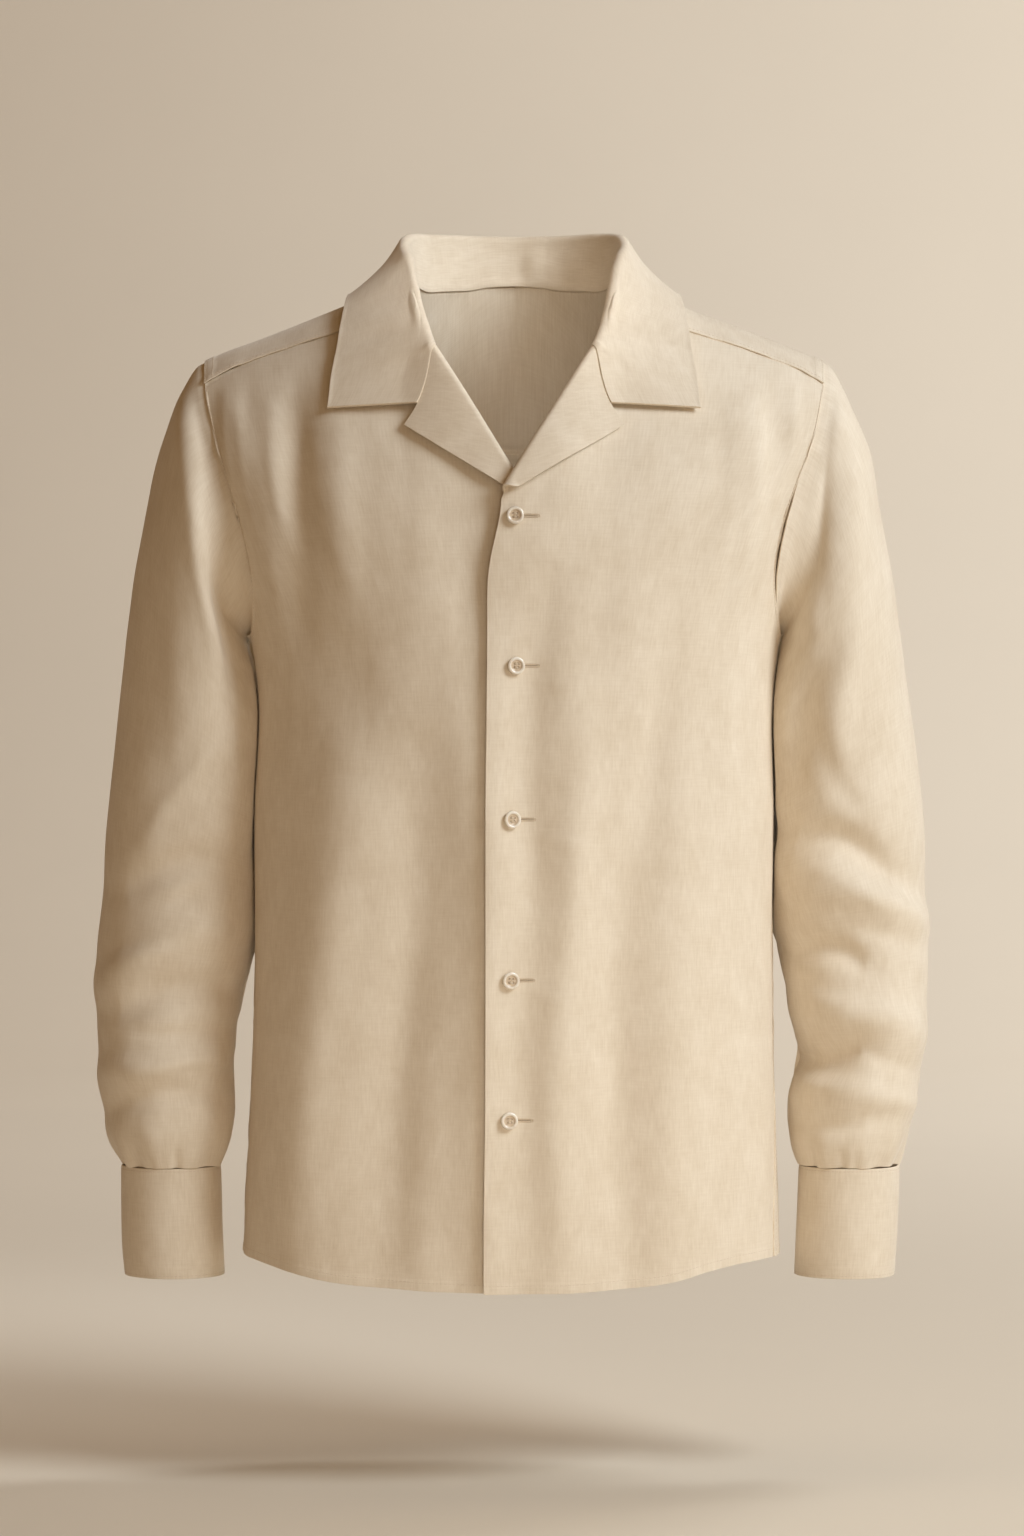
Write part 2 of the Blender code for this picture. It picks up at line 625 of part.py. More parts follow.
def front_grid(side):
    """One front: rows from the hem to neck, yoke and armhole, columns from its edge."""
    top_x, top_z = front_top()
    ends = np.cumsum([0, NECK_STEPS, YOKE_SEAM_STEPS, ARM_FRONT_STEPS])
    shares = np.interp(np.arange(len(top_x)), ends, [0, 0.13, 0.50, 1.0])
    count = TURN_STEPS + FLAT_STEPS
    start = girth_at(BREAK_ACROSS + LAPEL_STRIP, BREAK_HEIGHT)
    middle_girth = start + (1 - start) * shares ** 0.85
    middle_z = BREAK_HEIGHT - 155 * MM * ease(shares, 0, 1)

    rise = np.linspace(0, 1, FRONT_LOW_ROWS)[:, None]
    edge = BREAK_ACROSS - (EDGE_FROM_CENTRE + BREAK_ACROSS) * (1 - ease(rise, 0.84, 1.0) ** 2)
    inner = edge + LAPEL_STRIP + 15 * MM * (1 - ease(rise, 0.7, 1.0))
    hem_x = 198 * MM * np.interp(shares ** 0.95, GIRTH, GIRTH_WIDTH)
    base = hem_height(hem_x)
    z = base + (middle_z - base) * rise
    low_start = girth_at(inner, z[:, :1])
    girth = low_start + (side_girth(z, side) - low_start) * shares ** (0.95 - 0.10 * rise)
    strip = np.linspace(0, 1, count + 1)[:-1][None, :]
    strip_x = edge + (inner - edge) * strip
    strip_z = hem_height(strip_x) + (BREAK_HEIGHT - hem_height(strip_x)) * rise
    low_girth = np.concatenate([girth_at(strip_x, strip_z), girth], axis=1)
    low_z = np.concatenate([strip_z, z], axis=1)
    low = front_cloth(low_girth, low_z, side)

    rise = np.linspace(0, 1, FRONT_HIGH_ROWS + 1)[1:, None]
    top_girth = girth_at(top_x, top_z)
    girth = middle_girth + (top_girth - middle_girth) * rise
    z = middle_z + (top_z - middle_z) * rise
    aside = LAPEL_STRIP * (1 - ease(rise, 0, 0.12))
    line = girth_at(BREAK_ACROSS + (GORGE[0] - BREAK_ACROSS) * rise + aside, z[:, :1])
    girth = girth + (line - girth[:, :1]) * (1 - shares[None, :]) ** 6
    panel = front_cloth(girth, z, side)
    lapel_x, lapel_z, height = lapel_layout(rise)
    lapel = front_cloth(girth_at(lapel_x, lapel_z), lapel_z, side, height, folds=False)
    high = np.concatenate([lapel, panel], axis=1)
    grid = trimmed(np.concatenate([low, high], axis=0), ("top", "right"))
    return grid if side > 0 else grid[:, ::-1]


def make_front(side, name, collection):
    return cloth_wall(name, front_grid(side), collection)


# ---------------------------------------------------------------- back and yoke
BACK_ROWS = 18


def half_back(side):
    """Half the back from the centre to its side seam: girth and height of its points."""
    top_x, top_z = back_top()
    ends = np.cumsum([0, BACK_YOKE_STEPS, ARM_BACK_STEPS])
    shares = np.interp(np.arange(len(top_x)), ends, [0, 0.56, 1.0])
    rise = np.linspace(0, 1, BACK_ROWS)[:, None]
    middle = 0.72
    low = np.clip(rise / middle, 0, 1)
    high = np.clip((rise - middle) / (1 - middle), 0, 1)
    hem_z = hem_height(198 * MM * np.interp(shares, GIRTH, GIRTH_WIDTH))
    middle_z = -250 * MM - 80 * MM * ease(shares, 0, 1)
    z = hem_z + (middle_z - hem_z) * low + (top_z - middle_z) * high
    top_girth = 2 - girth_at(top_x, top_z)
    low_girth = 2 - shares * (2 - side_girth(z, side))
    girth = low_girth + (top_girth - low_girth) * high
    return side * girth, z


def make_back(collection):
    left_girth, left_z = half_back(1)
    right_girth, right_z = half_back(-1)
    left = body_cloth(left_girth, left_z)
    right = body_cloth(right_girth, right_z)
    grid = np.concatenate([left[:, ::-1], right[:, 1:]], axis=1)
    grid = trimmed(grid, ("top", "left", "right"))
    return cloth_wall("back", grid, collection)


def yoke_neck_shares():
    """Where the yoke's columns meet the neck seam, from its front seam to the back."""
    ends = np.cumsum([0, ARM_YOKE_FRONT_STEPS, ARM_YOKE_BACK_STEPS, BACK_YOKE_STEPS])
    return np.interp(np.arange(ends[-1] + 1), ends, [YOKE_ALONG_NECK, 0.42, 0.58, 1.0])


def yoke_outer():
    """Outer edge of half the yoke: up the armhole, down behind, along the back seam."""
    front_x, front_z = armhole_points(0, YOKE_ARM_FRONT, ARM_YOKE_FRONT_STEPS)
    back_x, back_z = armhole_points(0, YOKE_ARM_BACK, ARM_YOKE_BACK_STEPS)
    seam_x, seam_z = back_yoke_line(np.linspace(1, 0, BACK_YOKE_STEPS + 1))
    x = np.concatenate([front_x[::-1], back_x[1:], seam_x[1:]])
    turn = np.concatenate([arch_turn(front_x, front_z)[::-1],
                           math.pi - arch_turn(back_x[1:], back_z[1:]),
                           math.pi - arch_turn(seam_x[1:], seam_z[1:])])
    return x, turn


def make_yoke(collection):
    neck_x, neck_turn = neck_line(yoke_neck_shares())
    outer_x, outer_turn = yoke_outer()
    out = np.linspace(0, 1, YOKE_SEAM_STEPS + 1)[:, None]
    x = neck_x + (outer_x - neck_x) * out
    turn = neck_turn + (outer_turn - neck_turn) * out
    seam_x, seam_z = yoke_line(out)
    near_seam = np.clip(1 - np.arange(len(neck_x)) / ARM_YOKE_FRONT_STEPS, 0, 1)[None, :]
    x = x + (seam_x - x[:, :1]) * near_seam
    turn = turn + (arch_turn(seam_x, seam_z) - turn[:, :1]) * near_seam
    half = arch_at(x, turn)
    other = half[:, ::-1] * np.array([-1.0, 1.0, 1.0])
    grid = np.concatenate([half, other[:, 1:]], axis=1)
    grid = trimmed(grid, ("top", "bottom", "left", "right"))
    return cloth_wall("yoke", grid[:, ::-1], collection)


# ---------------------------------------------------------------- sleeves and cuffs
SLEEVE_ROWS = 19
CUFF_ROWS = 4
CUFF_COLUMNS = 30
SEAM_RUN = 5 * MM              # the sleeve leaves its seam level with the body cloth


def with_middles(points):
    """A closed ring of points with one more in the middle of each step."""
    after = np.roll(points, -1, axis=0)
    return np.stack([points, (points + after) / 2], axis=1).reshape(-1, points.shape[-1])


def armhole_ring(side):
    """The armhole's own points: top, front, underarm, back; with the way on from there."""
    lines = ((0, YOKE_ARM_FRONT, ARM_YOKE_FRONT_STEPS, 0), (YOKE_ARM_FRONT, 1, ARM_FRONT_STEPS, 0),
             (0, YOKE_ARM_BACK, ARM_YOKE_BACK_STEPS, 1), (YOKE_ARM_BACK, 1, ARM_BACK_STEPS, 1))
    points, outs = [], []
    for begin, end, steps, back in lines:
        x, z = armhole_points(begin, end, steps)
        girth = girth_at(x, z)
        girth = side * (2 - girth if back else girth)
        points.append(body_at(girth, z))
        outs.append(body_normal(girth, z - 1 * MM))
    front = np.concatenate([points[0], points[1][1:]])
    back = np.concatenate([points[2], points[3][1:]])
    front_out = np.concatenate([outs[0], outs[1][1:]])
    back_out = np.concatenate([outs[2], outs[3][1:]])
    ring = np.concatenate([front, back[-2:0:-1]])
    out = np.concatenate([front_out, back_out[-2:0:-1]])
    out[0] = unit(front_out[0] + back_out[0])
    along = np.roll(ring, -1, axis=0) - np.roll(ring, 1, axis=0)
    level = unit(np.cross(out, along)) * side
    return with_middles(ring), unit(with_middles(level))


def ring_turns(ring):
    """The turn of each ring point: 0 at the top, half a turn at the underarm."""
    step = np.linalg.norm(np.diff(np.concatenate([ring, ring[:1]]), axis=0), axis=1)
    length = np.concatenate([[0], np.cumsum(step)])
    under = 2 * (ARM_YOKE_FRONT_STEPS + ARM_FRONT_STEPS)
    return np.interp(length[:-1], [0, length[under], length[-1]], [0, math.pi, 2 * math.pi])


def section_ring(rows, index, turn, side):
    """One oval section of a sleeve or cuff."""
    out = np.array([rows["out_x"][index], 0, rows["out_z"][index]])
    inner = np.array([rows["in_x"][index], 0, rows["in_z"][index]])
    middle = (out + inner) / 2 + np.array([0, rows["middle_y"][index], 0])
    half = (out - inner) / 2
    ring = middle + half * np.cos(turn)[:, None]
    ring[:, 1] -= rows["half_depth"][index] * np.sin(turn)
    swing = LEFT_SLEEVE_IN * ease(-ring[:, 2], -SWING_FROM, 640 * MM) if side > 0 else 0
    ring[:, 0] = side * (ring[:, 0] - swing)
    return ring


def outside_body(points, clearance):
    """Points below the armhole pushed out of the body tube, with room to spare."""
    x, y, z = points[..., 0], points[..., 1], points[..., 2]
    room = clearance * ease(-z, -UNDERARM_HEIGHT, -UNDERARM_HEIGHT + 14 * MM)
    wide = half_width(z) + room + follow(BODY["height"], BODY["shift"], z) * np.sign(x)
    deep = np.where(y < 0, level_depth(z, False), level_depth(z, True)) + room
    radius = ((np.abs(x) / wide) ** SECTION_POWER + (np.abs(y) / deep) ** SECTION_POWER)
    radius = radius ** (1 / SECTION_POWER)
    below = ease(-z, -UNDERARM_HEIGHT - 1 * MM, -UNDERARM_HEIGHT + 6 * MM)
    scale = 1 + (np.maximum(radius, 1) / radius - 1) * below
    return stack(x * scale, y * scale, z)


def sleeve_grid(side):
    """Rows from the armhole to the cuff seam, columns once round the arm."""
    ring, level = armhole_ring(side)
    turn = ring_turns(ring)
    sections = [section_ring(SLEEVE, index, turn, side) for index in range(len(SLEEVE["out_x"]))]
    toward = unit(sections[0] - ring)
    under = ease(-np.cos(turn), 0.1, 0.9)[:, None]
    first = ring + unit(level * (1 - under) + toward * (0.4 + under)) * SEAM_RUN
    knots_grid = np.stack([ring, first] + sections)
    gaps = np.linalg.norm(np.diff(knots_grid, axis=0), axis=2).mean(axis=1)
    knots = np.concatenate([[0], np.cumsum(gaps)])
    places = np.linspace(0, 1, SLEEVE_ROWS) ** 0.92 * (knots[-1] - knots[1]) + knots[1]
    places = np.concatenate([[0], places])
    grid = outside_body(follow(knots, knots_grid, places), SLEEVE_CLEARANCE)
    out = ring_normals(grid)
    front = RIGHT_SLEEVE_FOLDS if side < 0 else LEFT_SLEEVE_FOLDS
    back = mirrored_folds(SLEEVE_BACK_FOLDS, side)
    facing = ease(-out[..., 1], -0.35, 0.35)
    x, z = grid[..., 0], grid[..., 2]
    lift = fold_height(front, x, z) * facing + fold_height(back, x, z) * (1 - facing)
    down = ease(-z, 612 * MM, 655 * MM)
    swell = 0.7 + 0.3 * np.sin(3 * turn + side)
    lift = lift * (1 - down) + GATHER_DEPTH * down * np.cos(CUFF_GATHERS * turn) * swell
    away = ease(places, 0, 45 * MM)[:, None]
    grid = outside_body(grid + out * (lift * away)[..., None], SLEEVE_CLEARANCE)
    grid = trimmed(grid, ("top", "bottom"), 0.3 * MM)
    return grid if side > 0 else grid[:, ::-1]


def mirrored_folds(folds, side):
    if side > 0:
        return folds
    flipped = dict(folds)
    flipped["x1"] = -folds["x1"]
    flipped["x2"] = -folds["x2"]
    flipped["bow"] = -folds["bow"]
    return flipped


def ring_normals(grid):
    """Outward normals of a closed tube, rows going down from the shoulder."""
    wrapped = np.concatenate([grid[:, -1:], grid, grid[:, :1]], axis=1)
    along = (wrapped[:, 2:] - wrapped[:, :-2])
    down = np.gradient(grid, axis=0)
    out = unit(np.cross(along, down))
    middle = grid.mean(axis=1, keepdims=True)
    sign = np.sign(np.sum(out * (grid - middle), axis=(1, 2), keepdims=True))
    return out * sign


def make_sleeve(side, name, collection):
    return cloth_wall(name, sleeve_grid(side), collection, closed=True)


CUFF_BEGIN = 1.5 * math.pi - 0.5
CUFF_LAP_TURN = CUFF_LAP / (38 * MM)


def cuff_cloth(turn, share, side):
    """Cuff points by turn round the wrist and share of the way down."""
    full = CUFF_BEGIN + 2 * math.pi
    raise_by = (WALL + CUFF_WALL_GAP) * ease(turn, full - 0.35, full)
    rings = []
    for index in range(len(CUFF["out_x"])):
        ring = section_ring(CUFF, index, turn, side)
        middle = section_ring(CUFF, index, np.array([0, math.pi]), side).mean(axis=0)
        outward = unit((ring - middle) * np.array([1, 1, 0]))
        rings.append(ring + outward * raise_by[:, None])
    return follow(np.linspace(0, 1, len(rings)), np.stack(rings), share)


def make_cuff(side, name, collection):
    """The cuff goes once round the wrist and laps over itself behind."""
    turn = np.linspace(CUFF_BEGIN, CUFF_BEGIN + 2 * math.pi + CUFF_LAP_TURN, CUFF_COLUMNS)
    grid = trimmed(cuff_cloth(turn, np.linspace(0, 1, CUFF_ROWS), side), ("bottom",), 0.1 * MM)
    return cloth_wall(name, grid if side > 0 else grid[:, ::-1], collection)


# ---------------------------------------------------------------- collar
COLLAR_END_STATIONS = 3        # collar end to the end of the lapel's roll
COLLAR_TURN_STATIONS = 3       # round the roll at the gorge
COLLAR_COLUMNS = 12


def resampled(path, centre, columns, closeness):
    """A path read at `columns` places, closer together near the length `centre`."""
    step = np.linalg.norm(np.diff(path, axis=0), axis=1)
    length = np.concatenate([[0], np.cumsum(step)])
    crowd = 1 + closeness * np.exp(-((length - centre) / (8 * MM)) ** 2)
    share = np.concatenate([[0], np.cumsum(crowd[1:] * step)])
    even = np.linspace(0, share[-1], columns)
    return np.stack([np.interp(even, share, path[:, axis]) for axis in range(3)], axis=-1)


def collar_roll(share):
    """Middle of the collar's roll, 0 at the gorge and 1 at the centre back."""
    share = np.array(min(max(share, 0.0), 1.0))
    return np.stack([follow(COLLAR["share_n"], COLLAR[name], share) for name in ("roll_x", "roll_y", "roll_z")])


def collar_edge(share):
    """Outer edge of the collar, just above the cloth below it."""
    share = np.array(share)
    x = follow(COLLAR["share_n"], COLLAR["edge_across"], share)
    turn = follow(COLLAR["share_n"], COLLAR["edge_angle"], share)
    return clear_of_body(arch_at(x, turn), COLLAR_EDGE_HEIGHT)


def collar_section(share, begin_turn=0.0, slide=0.0):
    """Stand, roll and fall at one place round the neck, as points from the seam out.

    The roll is an arc from the top of the stand; the fall leaves it where its tangent
    points at the outer edge.  With begin_turn the section starts part way round the arc.
    """
    roll = collar_roll(share)
    along = unit(collar_roll(share + 0.01) - collar_roll(share - 0.01))
    if share >= 1:
        along = np.array([-1.0, 0.0, 0.0])
    up = np.array([float(follow(COLLAR["share_n"], COLLAR[name], np.array(share)))
                   for name in ("up_x_n", "up_y_n", "up_z_n")])
    up = unit(up - along * (up @ along))
    out = np.cross(along, up)
    radius = float(follow(COLLAR["share_n"], COLLAR["radius"], np.array(share)))
    roll = roll - along * slide
    edge = collar_edge(share)
    reach_up, reach_out = (edge - roll) @ up, (edge - roll) @ out - radius
    bearing = math.atan2(reach_up, -reach_out) % (2 * math.pi)
    leave = bearing - math.acos(radius / math.hypot(reach_up, reach_out))
    angles = np.linspace(min(begin_turn, leave), leave, 24)[:, None]
    arc = roll + up * radius * np.sin(angles) + out * radius * (1 - np.cos(angles))
    fall = arc[-1] + (edge - arc[-1]) * np.linspace(0, 1, 60)[1:, None]
    fall = clear_of_body(fall, COLLAR_EDGE_HEIGHT)
    path = np.concatenate([arc, fall])
    centre = (leave - min(begin_turn, leave)) * radius / 2
    if begin_turn == 0.0 and share > 0:
        across, turn = neck_line(np.array(share))
        seam = arch_at(across, turn)
        stand = seam + (roll - seam) * np.linspace(0, 1, 30)[:-1, None]
        path = np.concatenate([stand, path])
        centre = centre + np.linalg.norm(roll - seam)
    return resampled(path, centre, COLLAR_COLUMNS, 2.2)


def lapel_edge(past):
    """Point of the lapel's top edge, where the collar is sewn to it."""
    x, z, height = lapel_place(np.array(past), 1.0)
    return front_cloth(girth_at(x, z), z, 1, height, folds=False)


def collar_end_sections(first):
    """Sections from the collar's short end to the gorge, lying on the front."""
    sections = []
    arc = math.pi * ROLL_RADIUS
    edge_end = first[-1]
    across = np.linspace(0, 1, COLLAR_COLUMNS)
    for share in np.linspace(0, 1, COLLAR_END_STATIONS + 1)[:-1]:
        past = arc + lapel_sizes()[0] * NOTCH_SHARE * (1 - share)
        seam_x, seam_z, seam_height = lapel_place(np.array(past), 1.0)
        edge_x = COLLAR_POINT[0] + (edge_end[0] - COLLAR_POINT[0]) * share
        edge_z = COLLAR_POINT[1] + (edge_end[2] - COLLAR_POINT[1]) * share
        x = seam_x + (edge_x - seam_x) * across
        z = seam_z + (edge_z - seam_z) * across
        height = seam_height + (COLLAR_EDGE_HEIGHT - seam_height) * across
        sections.append(front_cloth(girth_at(x, z), z, 1, height, folds=False))
    return sections


def make_collar(collection):
    """Half the collar is worked out from its short end to the centre back, then mirrored."""
    slant = lapel_sizes()[1] / (lapel_sizes()[0] + math.pi * ROLL_RADIUS)
    turning = []
    for turn in np.linspace(math.pi, 0, COLLAR_TURN_STATIONS + 1)[:-1]:
        section = collar_section(0.0, turn, slant * turn * ROLL_RADIUS)
        section[0] = lapel_edge(turn * ROLL_RADIUS)
        turning.append(section)
    near_neck = np.linspace(0, YOKE_ALONG_NECK, NECK_STEPS + 1)
    shares = np.concatenate([near_neck, yoke_neck_shares()[1:]])
    round_neck = [collar_section(share) for share in shares]
    half = np.stack(collar_end_sections(turning[0]) + turning + round_neck)
    gap = np.full(len(half), COLLAR_SEAM_GAP)
    before_neck = COLLAR_END_STATIONS + COLLAR_TURN_STATIONS
    gap[before_neck:before_neck + NECK_STEPS + 1] += COLLAR_NECK_GAP
    half[:, 0] += unit(half[:, 1] - half[:, 0]) * gap[:, None]
    other = half[::-1] * np.array([-1.0, 1.0, 1.0])
    grid = np.concatenate([half, other[1:]])
    return cloth_wall("collar", grid[::-1], collection)


# ---------------------------------------------------------------- buttons
BUTTON_PROFILE = table("radius height", [
    (0.0, 1.75),
    (3.3, 1.75),
    (4.4, 2.6),
    (5.6, 2.6),
    (6.35, 1.7),
    (5.2, 0.0),
    (0.0, 0.0),
])
BUTTON_SIDES = 16
HOLE_SIDES = 5


def button_mesh(name, collection, guides):
    """A turned disc with a raised rim and four holes, its back on z = 0."""
    mesh = bpy.data.meshes.new(name)
    points = [(r, 0.0, h) for r, h in zip(BUTTON_PROFILE["radius"], BUTTON_PROFILE["height"])]
    mesh.from_pydata(points, [(i, i + 1) for i in range(len(points) - 1)], [])
    button = bpy.data.objects.new(name, mesh)
    collection.objects.link(button)
    screw = button.modifiers.new("Turned", "SCREW")
    screw.axis = "Z"
    screw.steps = BUTTON_SIDES
    screw.render_steps = BUTTON_SIDES
    screw.use_merge_vertices = True
    screw.merge_threshold = 0.02 * MM
    screw.use_smooth_shade = True
    cutter_mesh = bpy.data.meshes.new(name + "_holes")
    shape = bmesh.new()
    for quarter in range(4):
        turn = math.pi / 4 + quarter * math.pi / 2
        made = bmesh.ops.create_cone(shape, cap_ends=True, segments=HOLE_SIDES,
                                     radius1=HOLE_RADIUS, radius2=HOLE_RADIUS, depth=3 * BUTTON_THICK)
        offset = (HOLE_RING * math.cos(turn), HOLE_RING * math.sin(turn), 0)
        bmesh.ops.translate(shape, verts=made["verts"], vec=offset)
    shape.to_mesh(cutter_mesh)
    shape.free()
    cutter = bpy.data.objects.new(name + "_holes", cutter_mesh)
    cutter.hide_render = True
    cutter.display_type = "WIRE"
    guides.objects.link(cutter)
    cutter.parent = button
    cut = button.modifiers.new("Holes", "BOOLEAN")
    cut.operation = "DIFFERENCE"
    cut.object = cutter
    cut.solver = "EXACT"
    mesh.materials.append(new_material(name + "_shell", BUTTON_COLOUR, BUTTON_ROUGHNESS))
    return button


def place_button(button, place, out, cloth):
    """Sets a button facing along `out`, its back just off the cloth points under it."""
    reach = np.max((cloth - place) @ out) + BUTTON_CLEARANCE
    button.location = Vector(place + out * reach)
    button.rotation_mode = "QUATERNION"
    button.rotation_quaternion = Vector(out).to_track_quat("Z", "Y")


def make_buttons(collection, guides):
    for number, (x, z) in enumerate(zip(BUTTONS["across"], BUTTONS["height"]), start=1):
        girth = girth_at(np.array([x]), np.array([z]))
        place = front_cloth(girth, np.array([z]), 1)[0]
        turn = np.linspace(0, 2 * math.pi, 25)
        ring_x = x + BUTTON_RADIUS * np.cos(turn)
        ring_z = z + BUTTON_RADIUS * np.sin(turn)
        ring = front_cloth(girth_at(ring_x, ring_z), ring_z, 1)
        across = unit(ring[0] - ring[12])
        up = unit(ring[6] - ring[18])
        out = unit(np.cross(across, up))
        place_button(button_mesh(f"button_front_{number}", collection, guides), place, out, ring)


def make_cuff_button(side, name, collection, guides):
    """One button on the outer lap of a cuff."""
    middle = CUFF_BEGIN + 2 * math.pi + CUFF_LAP_TURN - 10 * MM / (38 * MM)
    turn = np.array([middle - 0.2, middle, middle + 0.2])
    patch = cuff_cloth(turn, np.array([0.3, 0.5, 0.7]), side)
    out = unit(np.cross(patch[1, 2] - patch[1, 0], patch[2, 1] - patch[0, 1]))
    out = out * np.sign(out @ np.array([side, 1.0, 0.0]))
    place_button(button_mesh(name, collection, guides), patch[1, 1], out, patch.reshape(-1, 3))


# ---------------------------------------------------------------- the whole shirt
def new_collection(name):
    collection = bpy.data.collections.new(name)
    bpy.context.scene.collection.children.link(collection)
    return collection


def main():
    for item in list(bpy.data.objects):
        bpy.data.objects.remove(item, do_unlink=True)
    shirt = new_collection("camp_collar_shirt")
    guides = new_collection("cutters")
    make_front(1, "front_left", shirt)
    make_front(-1, "front_right", shirt)
    make_back(shirt)
    make_yoke(shirt)
    for side, word in ((1, "left"), (-1, "right")):
        make_sleeve(side, "sleeve_" + word, shirt)
        make_cuff(side, "cuff_" + word, shirt)
        make_cuff_button(side, "button_cuff_" + word, shirt, guides)
    make_collar(shirt)
    make_buttons(shirt, guides)


main()
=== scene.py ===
"""Camp collar shirt, filled out as if worn: its cloth, stitching, buttons and the studio.

A piece of cloth is a surface worked out on a grid of rows and columns from the same tables
of sizes as the solids, with finer steps, small creases, turned edges and seams; its
thickness is added on the inner side.
"""
import functools
import math

import bmesh
import bpy
import numpy as np
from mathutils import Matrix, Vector


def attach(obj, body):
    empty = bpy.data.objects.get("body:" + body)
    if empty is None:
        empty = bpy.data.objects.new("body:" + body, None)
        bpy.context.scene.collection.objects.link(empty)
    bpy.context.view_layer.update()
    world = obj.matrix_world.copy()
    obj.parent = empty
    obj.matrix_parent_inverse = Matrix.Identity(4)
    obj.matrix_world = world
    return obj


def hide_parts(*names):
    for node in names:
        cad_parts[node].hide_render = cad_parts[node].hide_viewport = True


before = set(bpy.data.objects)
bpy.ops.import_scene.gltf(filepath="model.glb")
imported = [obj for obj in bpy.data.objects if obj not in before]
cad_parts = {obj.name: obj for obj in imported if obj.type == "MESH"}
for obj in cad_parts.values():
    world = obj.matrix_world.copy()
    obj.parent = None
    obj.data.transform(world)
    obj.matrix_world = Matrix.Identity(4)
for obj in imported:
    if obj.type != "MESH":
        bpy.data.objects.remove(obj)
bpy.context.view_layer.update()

bl_info = {
    "name": "Camp collar shirt",
    "version": (1, 0, 0),
    "blender": (4, 5, 0),
    "location": "3D View > Sidebar > Shirt",
    "description": "Builds the cloth, stitching and buttons of a camp collar shirt",
    "category": "Object",
}

MM = 0.001
ROOT = "root"

# ---------------------------------------------------------------- driving sizes
WALL = 1.4 * MM                # thickness that the cuff's lap steps over
CHEST_HEIGHT = -215 * MM       # below this level the body is a plain upright tube
UNDERARM_HEIGHT = -268 * MM    # lowest point of the armhole
SECTION_POWER = 2.3            # 2 is an ellipse, more is squarer
SECTION_RATIO = 1.6            # width over depth of the section that spreads the girth
ARCH_POWER = 1.75              # the power of the arch over the shoulders
SHOULDER_SLOPE = 0.39          # fall of the shoulder line for each unit outwards
NECK_SIDE = 75 * MM            # high shoulder point from the centre
NECK_RISE = 64 * MM            # how far the cloth would climb at the centre of the neck
SHOULDER_TOP = -4 * MM         # height of the shoulder line at the neck
EDGE_FROM_CENTRE = 20 * MM     # front edge past the centre line
BREAK_ACROSS = -9 * MM         # where the roll line meets the front edge
BREAK_HEIGHT = -175 * MM
ROLL_RADIUS = 2.6 * MM         # inner radius of the lapel's soft fold
LAPEL_SETTLE = 2.0 * MM        # the lapel's outer edge sinks this much towards the front
LAPEL_BOW = 5.5 * MM           # sideways bow of the lapel's top edge
TOP_FRONT_LIFT = 3.0 * MM      # the buttoned-over front stands out
UNDER_FRONT_SINK = 2.6 * MM    # and the one below it lies in
BUTTON_RADIUS = 6.35 * MM
BUTTON_CLEARANCE = 0.9 * MM    # room between a button's back and the cloth
HOLE_RADIUS = 0.75 * MM
HOLE_RING = 1.75 * MM
HOLE_ACROSS = 0.707 * HOLE_RING    # from the middle to the line through two holes
CUFF_WALL_GAP = 0.5 * MM
CUFF_LAP = 22 * MM             # the cuff's ends overlap by this much
COLLAR_EDGE_HEIGHT = 4.0 * MM  # collar leaf above the cloth it lies on
COLLAR_SEAM_GAP = 0.4 * MM
COLLAR_GORGE_GAP = 0.05 * MM
COLLAR_NECK_GAP = 0.3 * MM     # more beside the front's neck edge, where the walls face
SIDE_SEAM_SWING = 0.16         # forward swing of the left side seam at the hem, in girth
SIDE_SWING_FROM = -470 * MM    # heights between which it swings
SIDE_SWING_TO = -760 * MM
GATHERS_FROM = -612 * MM       # heights between which a sleeve's folds turn into gathers
GATHERS_TO = -655 * MM

CLOTH_UV = "cloth"
RIM_SHARE = "rim_share"
QUARTER_GIRTH = 262 * MM       # centre front to side seam round the body
SHOULDER_RADIUS = 130 * MM     # for lengths over the shoulder
ARM_RADIUS = 52 * MM           # for lengths round the sleeve
WRIST_RADIUS = 38 * MM
ARM_RUN = 200 * MM             # armhole length of a front
SEAM_FINE = 1.3 * MM           # step between columns beside a side seam
HEM_WIDTH = 7 * MM
HEM_STITCH = HEM_WIDTH - 1 * MM
HEM_HALF = 198 * MM            # half the width of the hem
ARM_BAND = 8.5 * MM            # topstitched band on the body side of the armhole
ARM_STITCHES = (1.6 * MM, ARM_BAND - 1.2 * MM)
BAND_RISE = 0.55 * MM
SIDE_BAND = 6.5 * MM
SIDE_STITCH = SIDE_BAND - 1.2 * MM
SEAM_SINK = 0.7 * MM           # how deep a seam draws the cloth in
YOKE_STITCH = 1.8 * MM
YOKE_RISE = 0.8 * MM           # the yoke's turned edge stands out
CUFF_STITCH = 2.2 * MM
YOKE_LAP = 1.6 * MM            # the yoke's turned edge covers the pieces under it
YOKE_PUCKER = 1.2
LAPEL_WAVE = 1.2 * MM
COLLAR_WAVE = 0.9 * MM
CUFF_WAVE = 0.9 * MM
GATHER_FINE = 1.3 * MM
FOLD_WARP = 4 * MM             # how unevenly the folds run
CUFF_TALL = 81 * MM
CLOTH_CLEARANCE = 0.7 * MM     # between a sleeve and the body it hangs against
STAND_TALL = 30 * MM
COLLAR_BACK_LAP = 1.4 * MM     # the collar covers the yoke's neck edge behind
STAND_STITCH = 3.2 * MM
PLACKET_WIDTH = 22 * MM
PLACKET_LENGTH = 120 * MM
PLACKET_POINT = 0.8            # fall of its pointed top for each unit across
PLACKET_RADIUS = 40 * MM       # of the sleeve there
PLACKET_TURN = 0.30            # middle of the slit past the cuff's end
